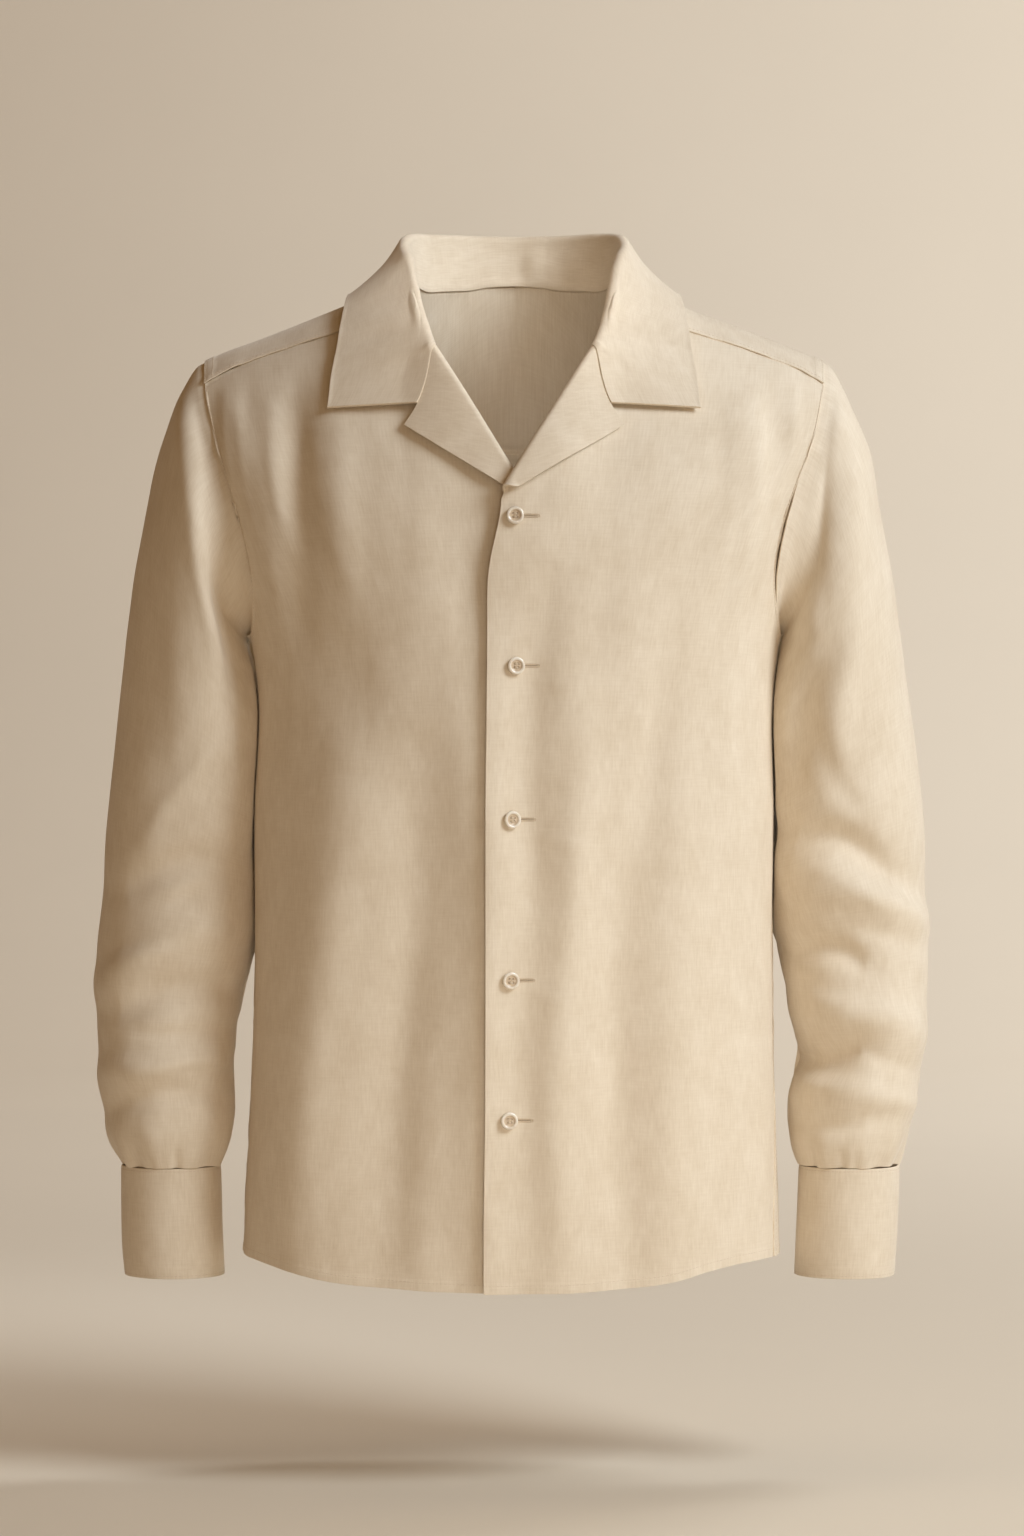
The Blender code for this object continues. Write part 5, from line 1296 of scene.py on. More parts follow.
def collar_section(share, begin_turn=0.0, slide=0.0):
    """Stand, roll and fall at one place round the neck, as points from the seam out.

    The roll is an arc from the top of the stand; the fall leaves it where its tangent
    points at the outer edge.  With begin_turn the section starts part way round the arc.
    """
    roll = collar_roll(share)
    along = unit(collar_roll(share + 0.01) - collar_roll(share - 0.01))
    if share >= 1:
        along = np.array([-1.0, 0.0, 0.0])
    up = np.array([float(collar_size(name, share)) for name in ("up_x_n", "up_y_n", "up_z_n")])
    up = unit(up - along * (up @ along))
    out = np.cross(along, up)
    radius = float(collar_size("radius", share))
    roll = roll - along * slide
    edge = collar_edge(share)
    reach_up, reach_out = (edge - roll) @ up, (edge - roll) @ out - radius
    bearing = math.atan2(reach_up, -reach_out) % (2 * math.pi)
    leave = bearing - math.acos(radius / math.hypot(reach_up, reach_out))
    angles = np.linspace(min(begin_turn, leave), leave, ROLL_SAMPLES)[:, None]
    arc = roll + up * radius * np.sin(angles) + out * radius * (1 - np.cos(angles))
    fall = arc[-1] + (edge - arc[-1]) * np.linspace(0, 1, FALL_SAMPLES)[1:, None]
    fall = clear_of_body(fall, COLLAR_EDGE_HEIGHT)
    path = np.concatenate([arc, fall])
    centre = (leave - min(begin_turn, leave)) * radius / 2
    if begin_turn == 0.0 and share > 0:
        across, turn = neck_line(np.array(share))
        seam = arch_at(across, turn)
        stand = seam + (roll - seam) * np.linspace(0, 1, STAND_SAMPLES)[:-1, None]
        path = np.concatenate([stand, path])
        centre = centre + np.linalg.norm(roll - seam)
    return resampled(path, centre, COLLAR_COLUMNS, 2.2)


def lapel_edge(past):
    """Point of the lapel's top edge, where the collar is sewn to it."""
    x, z, height = lapel_place(np.array(past), 1.0)
    return front_cloth(girth_at(x, z), z, 1, height, folds=False)


def collar_end_sections(first):
    """Sections from the collar's short end to the gorge, lying on the front."""
    sections = []
    arc = math.pi * ROLL_RADIUS
    edge_end = first[-1]
    across = np.linspace(0, 1, COLLAR_COLUMNS)
    for share in np.linspace(0, 1, COLLAR_END_STATIONS + 1)[:-1]:
        past = arc + lapel_sizes()[0] * NOTCH_SHARE * (1 - share)
        seam_x, seam_z, seam_height = lapel_place(np.array(past), 1.0)
        edge_x = COLLAR_POINT[0] + (edge_end[0] - COLLAR_POINT[0]) * share
        edge_z = COLLAR_POINT[1] + (edge_end[2] - COLLAR_POINT[1]) * share
        x = seam_x + (edge_x - seam_x) * across
        z = seam_z + (edge_z - seam_z) * across
        height = seam_height + (COLLAR_EDGE_HEIGHT - seam_height) * across
        sections.append(front_cloth(girth_at(x, z), z, 1, height, folds=False))
    return sections


def collar_half():
    """Half the collar from its short end to the centre back, and lengths along it."""
    slant = lapel_sizes()[1] / (lapel_sizes()[0] + math.pi * ROLL_RADIUS)
    turning = []
    for turn in np.linspace(math.pi, 0, COLLAR_TURN_STATIONS + 1)[:-1]:
        section = collar_section(0.0, turn, slant * turn * ROLL_RADIUS)
        section[0] = lapel_edge(turn * ROLL_RADIUS)
        turning.append(section)
    near_neck = np.linspace(0, YOKE_ALONG_NECK, COLLAR_NECK_STATIONS + 1)
    round_neck = [collar_section(share) for share in np.concatenate([near_neck, np.linspace(
        YOKE_ALONG_NECK, 1, COLLAR_BACK_STATIONS + 1)[1:]])]
    half = np.stack(collar_end_sections(turning[0]) + turning + round_neck)
    gap = np.full(len(half), COLLAR_SEAM_GAP)
    before_neck = COLLAR_END_STATIONS + COLLAR_TURN_STATIONS
    half = evened(half, COLLAR_END_STATIONS - 6, before_neck + 12)
    gap[:before_neck] = COLLAR_GORGE_GAP
    gap[before_neck:before_neck + COLLAR_NECK_STATIONS + 1] += COLLAR_NECK_GAP
    gap[before_neck + COLLAR_NECK_STATIONS + 1:] -= COLLAR_BACK_LAP
    half[:, 0] += unit(half[:, 1] - half[:, 0]) * gap[:, None]
    return half


def evened(half, first, last):
    """Rows between two stations spread evenly along each column, towards the outer edge.

    Round the roll at the gorge the stations fan out from the seam, and would otherwise
    meet in one point there.
    """
    part = half[first:last + 1]
    step = np.linalg.norm(np.diff(part, axis=0), axis=-1)
    length = np.concatenate([0 * step[:1], np.cumsum(step, axis=0)])
    even = np.linspace(0, 1, len(part))[:, None] * length[-1]
    spread = np.stack([np.stack([np.interp(even[:, column], length[:, column], part[:, column, axis])
                                 for axis in range(3)], axis=-1)
                       for column in range(part.shape[1])], axis=1)
    share = ease(np.arange(part.shape[1]) / part.shape[1], 0.25, 0.75)[None, :, None]
    half = half.copy()
    half[first:last + 1] = part * (1 - share) + spread * share
    return half


def eased_rows(grid, first, last, rounds, weight):
    """Rows from first to last drawn towards the middle of their neighbours, many times."""
    grid = grid.copy()
    inside = np.sin(math.pi * np.linspace(0, 1, last - first + 1)) ** 0.5
    share = (inside[:, None] * weight[None, :])[..., None]
    for _ in range(rounds):
        middle = (grid[first - 1:last] + grid[first + 1:last + 2]) / 2
        grid[first:last + 1] += (middle - grid[first:last + 1]) * share * 0.5
    return grid


@functools.cache
def collar_shape():
    """Stand and fall of the collar with a soft wave in each, worked out for both halves."""
    half = collar_half()
    gorge = COLLAR_END_STATIONS + COLLAR_TURN_STATIONS
    beyond_seam = ease(np.arange(COLLAR_COLUMNS) / COLLAR_COLUMNS, 0.05, 0.5)
    half = eased_rows(half, 2, gorge + 18, 160, beyond_seam)
    grid = np.concatenate([half, half[::-1][1:] * np.array([-1.0, 1.0, 1.0])])[::-1]
    centre = len(half) - 1
    grid = eased_rows(grid, centre - 9, centre + 9, 40, np.ones(COLLAR_COLUMNS))
    out = grid_normals(grid)
    across = run_from(grid, "left")
    along = run_from(grid, "bottom")[:, :1] + 0 * across
    end = np.minimum(run_from(grid, "bottom"), run_from(grid, "top"))
    outer = run_from(grid, "right")
    behind = ease(end[:, :1], 95 * MM, 150 * MM)
    stand = np.clip(1 - across / STAND_TALL, 0, 1)
    wave = 1.5 * MM * soft_noise(along, across, 12 * MM, 60 * MM, 201)
    fall = 1 - stand
    lift = wave * behind * 4 * stand * (1 - stand)
    lift = lift + 1.1 * ripple(along, across, 205) * ease(end, 0, 20 * MM) * (0.35 + 0.65 * fall)
    lift = lift + groove(across, STAND_STITCH, 0.5 * MM) * behind
    sway = soft_noise(along, across, 60 * MM, 60 * MM, 211)
    lift = lift + COLLAR_WAVE * fall * sway * ease(end, 5 * MM, 60 * MM)
    lift = lift + groove(np.minimum(outer, end), 0, 0.5 * MM, 1.6 * MM)
    grid = grid + out * lift[..., None]
    return grid, grid_normals(grid), np.stack([across, along], axis=-1)


# ---------------------------------------------------------------- making objects
def link(name, mesh):
    """Puts a mesh into the scene as a piece."""
    piece = bpy.data.objects.new(name, mesh)
    bpy.context.scene.collection.objects.link(piece)
    return piece


def mesh_of(name, points, faces):
    """Mesh of points and four-cornered faces; one whose last two corners are the same is a triangle."""
    sizes = np.where(faces[:, 2] == faces[:, 3], 3, 4).astype(np.int32)
    corners = faces.ravel()[np.column_stack([np.ones((len(faces), 3), bool), sizes == 4]).ravel()]
    mesh = bpy.data.meshes.new(name)
    mesh.vertices.add(len(points))
    mesh.vertices.foreach_set("co", points.astype(np.float32).ravel())
    mesh.loops.add(len(corners))
    mesh.loops.foreach_set("vertex_index", corners.astype(np.int32))
    mesh.polygons.add(len(faces))
    mesh.polygons.foreach_set("loop_start", running(sizes[:-1]).astype(np.int32))
    mesh.update(calc_edges=True)
    mesh.shade_smooth()
    return mesh


def quad_mesh(name, grid, closed=False):
    """Mesh of a grid of points; rows go up and columns to the right seen from outside."""
    rows, columns = grid.shape[:2]
    index = np.arange(rows * columns).reshape(rows, columns)
    if closed:
        index = np.concatenate([index, index[:, :1]], axis=1)
    faces = np.stack([index[:-1, :-1], index[:-1, 1:], index[1:, 1:], index[1:, :-1]], axis=-1)
    faces = faces.reshape(-1, 4)
    return mesh_of(name, grid.reshape(-1, 3), faces), faces


def lay_uv(mesh, faces, uv, closed_by=None):
    """Puts lengths of the cloth along and across, in metres, on the faces' corners."""
    corner = uv.reshape(-1, 2)[faces]
    if closed_by is not None:
        wrapped = np.ptp(corner[..., 0], axis=1) > closed_by / 2
        lowest = corner[..., 0] < closed_by / 2
        corner[..., 0] += closed_by * (wrapped[:, None] & lowest)
    layer = mesh.uv_layers.new(name=CLOTH_UV)
    layer.data.foreach_set("uv", corner.astype(np.float32).ravel())


def cloth_piece(name, grid, uv, material, wall, round_by, closed=False, closed_by=None):
    """A wall of cloth from its outer surface, thickened inwards, with rounded edges."""
    mesh, faces = quad_mesh(name, grid, closed)
    lay_uv(mesh, faces, uv, closed_by)
    mesh.materials.append(material)
    piece = link(name, mesh)
    thick = piece.modifiers.new("Thickness", "SOLIDIFY")
    thick.thickness = wall
    thick.offset = -1.0
    thick.use_even_offset = False
    edges = piece.modifiers.new("Rounded edges", "BEVEL")
    edges.width = round_by
    edges.segments = 2
    edges.limit_method = "ANGLE"
    edges.angle_limit = math.radians(50)
    edges.use_clamp_overlap = True
    return piece


def many(name, template, faces, places, along, out, material):
    """Copies of one small closed shape in a single mesh.

    The template's x runs along, z out of the cloth and y across; its places and both
    directions are one row each.
    """
    across = unit(np.cross(out, along))
    out = unit(np.cross(along, across))
    turned = (template[None, :, 0:1] * along[:, None] + template[None, :, 1:2] * across[:, None]
              + template[None, :, 2:3] * out[:, None] + places[:, None])
    shift = (np.arange(len(places)) * len(template))[:, None, None]
    mesh = mesh_of(name, turned.reshape(-1, 3), (faces[None] + shift).reshape(-1, 4))
    mesh.materials.append(material)
    return link(name, mesh)


def capsule(length, radius, sides=6, rings=4, sink=0.0):
    """A short thread lying along x: a rod with round closed ends, bowed down at its ends."""
    turn = np.linspace(0, 2 * math.pi, sides, endpoint=False)
    place = np.linspace(-1, 1, rings)
    swell = np.sqrt(np.clip(1 - (place * 0.86) ** 6, 0, 1))
    x = np.repeat(place * length / 2 * 0.94, sides)
    y = (swell[:, None] * np.cos(turn)).ravel() * radius
    z = (swell[:, None] * np.sin(turn)).ravel() * radius - sink * np.repeat(place ** 4, sides)
    ends = np.array([[-length / 2, 0, -sink], [length / 2, 0, -sink]])
    points = np.concatenate([np.column_stack([x, y, z]), ends])
    index = np.arange(rings * sides).reshape(rings, sides)
    after = np.roll(index, -1, axis=1)
    body = np.stack([index[:-1], index[1:], after[1:], after[:-1]], axis=-1).reshape(-1, 4)
    first = np.full(sides, rings * sides)
    last = first + 1
    low = np.stack([first, index[0], after[0], after[0]], axis=-1)
    high = np.stack([last, after[-1], index[-1], index[-1]], axis=-1)
    return points, np.concatenate([body, low, high])


def spaced(path, out, pitch):
    """Evenly spaced places on a path, with the way along it and the way out of the cloth."""
    length = path_length(path)
    count = max(int(length[-1] / pitch), 1)
    at = (np.arange(count) + 0.5) * length[-1] / count
    ahead = read_path(path, length, at + pitch / 4)
    behind = read_path(path, length, at - pitch / 4)
    return read_path(path, length, at), unit(ahead - behind), unit(read_path(out, length, at))


# ---------------------------------------------------------------- materials
class Nodes:
    """A material's node tree, with short calls to add nodes and join them."""

    def __init__(self, name):
        old = bpy.data.materials.get(name)
        self.material = old or bpy.data.materials.new(name)
        self.material.use_nodes = True
        self.tree = self.material.node_tree
        self.tree.nodes.clear()
        self.shader = self.add("ShaderNodeBsdfPrincipled")
        output = self.add("ShaderNodeOutputMaterial")
        self.tree.links.new(self.shader.outputs[0], output.inputs["Surface"])

    def add(self, kind, **options):
        """Adds a node with its options."""
        made = self.tree.nodes.new(kind)
        for name, value in options.items():
            setattr(made, name, value)
        return made

    def set(self, made, **values):
        """Sets a node's inputs, by name with _ for a space or by n and a number; a socket is joined."""
        for name, value in values.items():
            numbered = name.startswith("n") and name[1:].isdigit()
            socket = made.inputs[int(name[1:]) if numbered else name.replace("_", " ")]
            if isinstance(value, bpy.types.NodeSocket):
                self.tree.links.new(value, socket)
            else:
                socket.default_value = value
        return made.outputs[0]

    def maths(self, operation, *values):
        """Result of one sum on values or sockets."""
        made = self.add("ShaderNodeMath", operation=operation)
        return self.set(made, **{f"n{index}": value for index, value in enumerate(values)})

    def scaled(self, vector, scale):
        """Places stretched by a scale along each axis."""
        made = self.add("ShaderNodeMapping")
        return self.set(made, Vector=vector, Scale=scale)

    def noise(self, vector, scale, detail=3.0, roughness=0.55):
        """Cloudy value at each place."""
        made = self.add("ShaderNodeTexNoise")
        return self.set(made, Vector=vector, Scale=scale, Detail=detail, Roughness=roughness)

    def mixed(self, factor, first, second):
        """Colour between two others."""
        made = self.add("ShaderNodeMix", data_type="RGBA")
        self.set(made, n0=factor, n6=first, n7=second)
        return made.outputs[2]

    def ramp(self, value, low, high, start, end):
        """Value between low and high carried to start and end."""
        made = self.add("ShaderNodeMapRange")
        return self.set(made, Value=value, From_Min=low, From_Max=high, To_Min=start, To_Max=end)

    def bump(self, height, strength, distance, before=None):
        """Normal tilted by a height, after another bump."""
        made = self.add("ShaderNodeBump")
        self.set(made, Strength=strength, Distance=distance, Height=height)
        if before is not None:
            self.tree.links.new(before, made.inputs["Normal"])
        return made.outputs[0]


def cloth_material(look):
    """Plain weave with slubs, a short nap and soft streaks along the warp."""
    nodes = Nodes("shirt_cloth")
    flat = nodes.add("ShaderNodeUVMap", uv_map=CLOTH_UV).outputs[0]
    parts = nodes.add("ShaderNodeSeparateXYZ")
    nodes.set(parts, Vector=flat)
    threads = 2 * math.pi / look.thread_pitch
    warp = nodes.maths("SINE", nodes.maths("MULTIPLY", parts.outputs[0], threads))
    weft = nodes.maths("SINE", nodes.maths("MULTIPLY", parts.outputs[1], threads))
    weave = nodes.maths("MULTIPLY", warp, weft)
    slub = nodes.noise(nodes.scaled(flat, (900.0, 70.0, 1.0)), 1.0)
    cross_slub = nodes.noise(nodes.scaled(flat, (60.0, 800.0, 1.0)), 1.0)
    streak = nodes.noise(nodes.scaled(flat, (120.0, 52.0, 1.0)), 1.0, 4.0, 0.6)
    patch = nodes.noise(nodes.scaled(flat, (36.0, 22.0, 1.0)), 1.0, 4.0, 0.6)
    nap = nodes.noise(nodes.scaled(flat, (2600.0, 1500.0, 1.0)), 1.0, 2.0, 0.6)
    tone = nodes.maths("ADD", nodes.ramp(streak, 0.25, 0.75, -0.55, 0.55),
                       nodes.ramp(patch, 0.25, 0.75, -0.7, 0.7))
    tone = nodes.maths("ADD", tone, nodes.ramp(slub, 0.2, 0.8, -0.9, 0.9))
    tone = nodes.maths("ADD", tone, nodes.ramp(cross_slub, 0.2, 0.8, -0.5, 0.5))
    share = nodes.ramp(tone, -2.0, 2.0, 0.0, 1.0)
    colour = nodes.mixed(share, (*look.dark, 1.0), (*look.light, 1.0))
    bump = nodes.bump(slub, 0.25, 0.16 * MM)
    bump = nodes.bump(cross_slub, 0.2, 0.14 * MM, bump)
    bump = nodes.bump(weave, 0.22, 0.10 * MM, bump)
    bump = nodes.bump(nap, 0.30, 0.12 * MM, bump)
    nodes.set(nodes.shader, Base_Color=colour, Roughness=look.roughness, IOR=1.46, Normal=bump,
              Sheen_Weight=look.sheen, Sheen_Roughness=0.45, Sheen_Tint=(1.0, 0.97, 0.93, 1.0),
              Specular_IOR_Level=0.25)
    return nodes.material


def plain_material(name, colour, roughness, grain=0.0, scale=400.0, sheen=0.0):
    """Even colour with a little grain in tone and height, by the object's own place."""
    nodes = Nodes(name)
    place = nodes.add("ShaderNodeTexCoord").outputs["Object"]
    cloud = nodes.noise(place, scale)
    dark = tuple(value * (1 - grain) for value in colour)
    lighter = tuple(min(value * (1 + grain), 1) for value in colour)
    tone = nodes.mixed(nodes.ramp(cloud, 0.3, 0.7, 0.0, 1.0), (*dark, 1.0), (*lighter, 1.0))
    nodes.set(nodes.shader, Base_Color=tone, Roughness=roughness, Sheen_Weight=sheen,
              Specular_IOR_Level=0.4, Normal=nodes.bump(cloud, 0.3, 0.08 * MM))
    return nodes.material


def thread_material(thread):
    """Matt sewing thread."""
    return plain_material("shirt_thread", thread.colour, 0.7, grain=0.08, sheen=0.2)


def button_material(look):
    """Pale shell with cloudy layers and a thin gloss; the rim is paler, and the dished middle is painted
    darker and browner as a painted reflection.
    """
    nodes = Nodes("shirt_button")
    place = nodes.add("ShaderNodeTexCoord").outputs["Object"]
    layers = nodes.noise(nodes.scaled(place, (260.0, 160.0, 420.0)), 1.0, 5.0, 0.62)
    fine = nodes.noise(place, 900.0, 3.0)
    rim = nodes.add("ShaderNodeAttribute", attribute_name=RIM_SHARE, attribute_type="GEOMETRY").outputs["Fac"]
    # painted reflection: the dished middle's darker brown tones, set inside the paler rim
    inner = nodes.mixed(nodes.ramp(layers, 0.35, 0.7, 0.0, 1.0), (*look.middle, 1.0), (*look.shade, 1.0))
    outer = nodes.mixed(nodes.ramp(layers, 0.3, 0.7, 0.0, 1.0), (*look.rim, 1.0), (*look.rim_shade, 1.0))
    colour = nodes.mixed(rim, inner, outer)
    nodes.set(nodes.shader, Base_Color=colour, Roughness=0.24, Coat_Weight=0.5, Coat_Roughness=0.1,
              IOR=1.53, Specular_IOR_Level=0.5, Subsurface_Weight=0.08,
              Subsurface_Radius=(0.002, 0.0015, 0.001), Normal=nodes.bump(fine, 0.08, 0.05 * MM))
    return nodes.material


# ---------------------------------------------------------------- stitching and buttonholes
def stitch_rows():
    """Every row of stitches as places, directions and normals, end to end."""
    rows = []

    def lay(shape, edge, distance, parts=(slice(None),)):
        """Rows at a distance from an edge of a piece, on some parts of that line."""
        grid, out = shape[:2]
        level = edge in ("top", "bottom")
        path, normal = line_at(grid, out, run_from(grid, edge), distance, rows=level)
        rows.extend(spaced(path[part], normal[part], STITCH_PITCH) for part in parts)

    arm = slice(TURN_STEPS + FLAT_STEPS + NECK_STEPS + YOKE_SEAM_STEPS, None)
    for side in (1, -1):
        shape = front_shape(side)
        for distance in ARM_STITCHES:
            lay(shape, "top", distance, [arm])
        lay(shape, "bottom", HEM_STITCH)
    shape = back_shape()
    for distance in ARM_STITCHES:
        lay(shape, "top", distance, [slice(ARM_BACK_STEPS + 1), slice(-ARM_BACK_STEPS - 1, None)])
    lay(shape, "bottom", HEM_STITCH)
    for edge in ("left", "right"):
        lay(shape, edge, SIDE_STITCH)
    shape = yoke_shape()
    ends = ARM_YOKE_FRONT_STEPS + ARM_YOKE_BACK_STEPS
    lay(shape, "top", YOKE_STITCH, [slice(ends, -ends)])
    for distance in ARM_STITCHES:
        lay(shape, "top", distance, [slice(ends + 1), slice(-ends - 1, None)])
    for edge in ("left", "right"):
        lay(shape, edge, YOKE_STITCH + YOKE_LAP)
    trim = COLLAR_END_STATIONS + COLLAR_TURN_STATIONS + COLLAR_NECK_STATIONS // 2
    lay(collar_shape(), "left", STAND_STITCH, [slice(trim, -trim)])
    for side in (1, -1):
        shape = cuff_shape(side)
        for edge in ("top", "bottom"):
            lay(shape, edge, CUFF_STITCH)
        rows.append(placket_row(side))
    return [np.concatenate(part) for part in zip(*rows)]


def placket_row(side):
    """Stitches round the bound slit above a cuff."""
    grid, out, _, turn = sleeve_shape(side)
    run = run_from(grid, "top")
    around = placket_across(turn)
    order = np.argsort(around)
    wide = PLACKET_WIDTH / 2 - 1.3 * MM
    foot, tall = 2 * MM, PLACKET_LENGTH - 2 * MM
    corner = tall - wide * PLACKET_POINT
    shape = [(-wide, foot), (-wide, corner), (0, tall), (wide, corner), (wide, foot)]
    across, up = (np.concatenate([np.linspace(a[axis], b[axis], 30) for a, b in zip(shape, shape[1:])])
                  for axis in (0, 1))
    column = np.interp(across, around[order], np.arange(len(order)))
    points, normals = [], []
    for where, height in zip(column, up):
        low, part = int(where), where - int(where)
        near, far = order[low], order[min(low + 1, len(order) - 1)]
        line = grid[:, near] * (1 - part) + grid[:, far] * part
        normal = out[:, near] * (1 - part) + out[:, far] * part
        length = run[:, near] * (1 - part) + run[:, far] * part
        points.append([np.interp(height, length[::-1], line[::-1, axis]) for axis in range(3)])
        normals.append([np.interp(height, length[::-1], normal[::-1, axis]) for axis in range(3)])
    return spaced(np.array(points), unit(np.array(normals)), STITCH_PITCH)


def buttonhole_ring(begin, end, half):
    """Stitches round a slit from x `begin` to `end`: places and the ways across them."""
    straight = np.arange(begin, end, PURL_PITCH)
    turn = np.linspace(-math.pi / 2, math.pi / 2, 8)[1:-1]
    x = np.concatenate([straight, end + half * np.cos(turn), straight[::-1], begin - half * np.cos(turn)])
    y = np.concatenate([np.full(len(straight), -half), half * np.sin(turn),
                        np.full(len(straight), half), -half * np.sin(turn)])
    way_x = np.concatenate([0 * straight, np.cos(turn), 0 * straight, -np.cos(turn)])
    way_y = np.concatenate([0 * straight - 1, np.sin(turn), 0 * straight + 1, -np.sin(turn)])
    return x, y, way_x, way_y


def on_front(x, z, lift):
    """Places and normals on the top front, lifted off its cloth."""
    step = 1.5 * MM
    here = front_cloth(girth_at(x, z), z, 1)
    across = front_cloth(girth_at(x + step, z), z, 1) - here
    up = front_cloth(girth_at(x, z + step), z + step, 1) - here
    out = unit(np.cross(across, up))
    return here + out * lift, unit(across), unit(up), out


# ---------------------------------------------------------------- buttons
def button_surface():
    """Top, edge and back of a button on rings and turns, with four holes pressed through.

    Returns points, and for each how near the rim it is.
    """
    rings = np.concatenate([np.linspace(0, BUTTON_RADIUS, FACE_RINGS),
                            np.linspace(BUTTON_RADIUS, 0, BACK_RINGS)[1:]])
    turn = np.linspace(0, 2 * math.pi, BUTTON_SIDES, endpoint=False)
    top = follow(BUTTON_FACE["radius"], BUTTON_FACE["level"], rings[:FACE_RINGS])
    back = follow(BUTTON_BACK["radius"], BUTTON_BACK["level"], rings[FACE_RINGS:])
    radius = np.repeat(rings[:, None], BUTTON_SIDES, axis=1)
    x, y = radius * np.cos(turn), radius * np.sin(turn)
    z = np.concatenate([top, back])[:, None] + 0 * x
    is_top = (np.arange(len(rings)) < FACE_RINGS)[:, None]
    for quarter in range(4):
        angle = math.pi / 4 + quarter * math.pi / 2
        away = np.hypot(x - HOLE_RING * math.cos(angle), y - HOLE_RING * math.sin(angle))
        z = z - is_top * HOLE_DEPTH * (1 - ease(away, HOLE_RADIUS * 0.78, HOLE_RADIUS * 1.15))
    # share of the rim: the material paints the rim paler and the dished middle darker, a painted reflection
    rim = ease(radius, 3.7 * MM, 4.5 * MM)
    return np.stack([x, y, z], axis=-1), rim


def button_piece(name, place, across, out, material):
    """A finished button standing on its cloth, turned so that its holes lie square."""
    grid, rim = button_surface()
    up = unit(np.cross(out, across))
    across = np.cross(up, out)
    world = place + grid[..., 0:1] * across + grid[..., 1:2] * up + grid[..., 2:3] * out
    rows, columns = world.shape[:2]
    mesh, _ = quad_mesh(name, world[1:-1][::-1], closed=True)
    mesh.materials.append(material)
    piece = link(name, mesh)
    share = mesh.attributes.new(RIM_SHARE, "FLOAT", "POINT")
    share.data.foreach_set("value", rim[1:-1][::-1].astype(np.float32).ravel())
    close_ends(mesh, rows - 2, columns)
    return piece


def close_ends(mesh, rows, columns):
    """Caps the first and last ring of a closed surface with one face each."""
    shape = bmesh.new()
    shape.from_mesh(mesh)
    shape.verts.ensure_lookup_table()
    for ring in (range(columns), range((rows - 1) * columns, rows * columns)):
        corners = [shape.verts[index] for index in ring]
        face = shape.faces.new(corners)
        face.smooth = True
    bmesh.ops.recalc_face_normals(shape, faces=shape.faces)
    shape.to_mesh(mesh)
    shape.free()


def button_places():
    """Each button's node, place of its back, way across and way out."""
    found = []
    for number, (x, z) in enumerate(zip(BUTTONS["across"], BUTTONS["height"]), start=1):
        turn = np.linspace(0, 2 * math.pi, 25)
        ring_x, ring_z = x + BUTTON_RADIUS * np.cos(turn), z + BUTTON_RADIUS * np.sin(turn)
        ring = front_cloth(girth_at(ring_x, ring_z), ring_z, 1)
        place = front_cloth(girth_at(np.array([x]), np.array([z])), np.array([z]), 1)[0]
        across, up = unit(ring[0] - ring[12]), unit(ring[6] - ring[18])
        out = unit(np.cross(across, up))
        found.append((f"button_front_{number}", place, ring, across, out))
    for side, word in ((1, "left"), (-1, "right")):
        middle = CUFF_BEGIN + 2 * math.pi + CUFF_LAP_TURN - 10 * MM / WRIST_RADIUS
        patch = cuff_cloth(np.array([middle - 0.2, middle, middle + 0.2]), np.array([0.3, 0.5, 0.7]), side)
        out = unit(np.cross(patch[1, 2] - patch[1, 0], patch[2, 1] - patch[0, 1]))
        out = out * np.sign(out @ np.array([side, 1.0, 0.0]))
        across = unit(patch[1, 2] - patch[1, 0])
        found.append((f"button_cuff_{word}", patch[1, 1], patch.reshape(-1, 3), across, out))
    return [(name, place + out * (np.max((cloth - place) @ out) + BUTTON_CLEARANCE), across, out)
            for name, place, cloth, across, out in found]


def button_threads(places):
    """Thread through the holes of every button, and the shank behind it."""
    grid_along, grid_place, grid_out = [], [], []
    for _, place, across, out in places:
        up = unit(np.cross(out, across))
        middle = place + out * (1.75 * MM)
        for row in (-1, 1):
            for strand in (-1, 0, 1):
                shift = up * (row * HOLE_ACROSS + strand * 0.26 * MM)
                grid_place.append(middle + shift + out * (0.16 * MM * (1 - abs(strand))))
                grid_along.append(across)
                grid_out.append(out)
        for strand in range(5):
            turn = 2 * math.pi * strand / 5
            spoke = across * math.cos(turn) + up * math.sin(turn)
            grid_place.append(place - out * 0.2 * MM + spoke * 0.9 * MM)
            grid_along.append(out)
            grid_out.append(across)
    return np.array(grid_place), np.array(grid_along), np.array(grid_out)


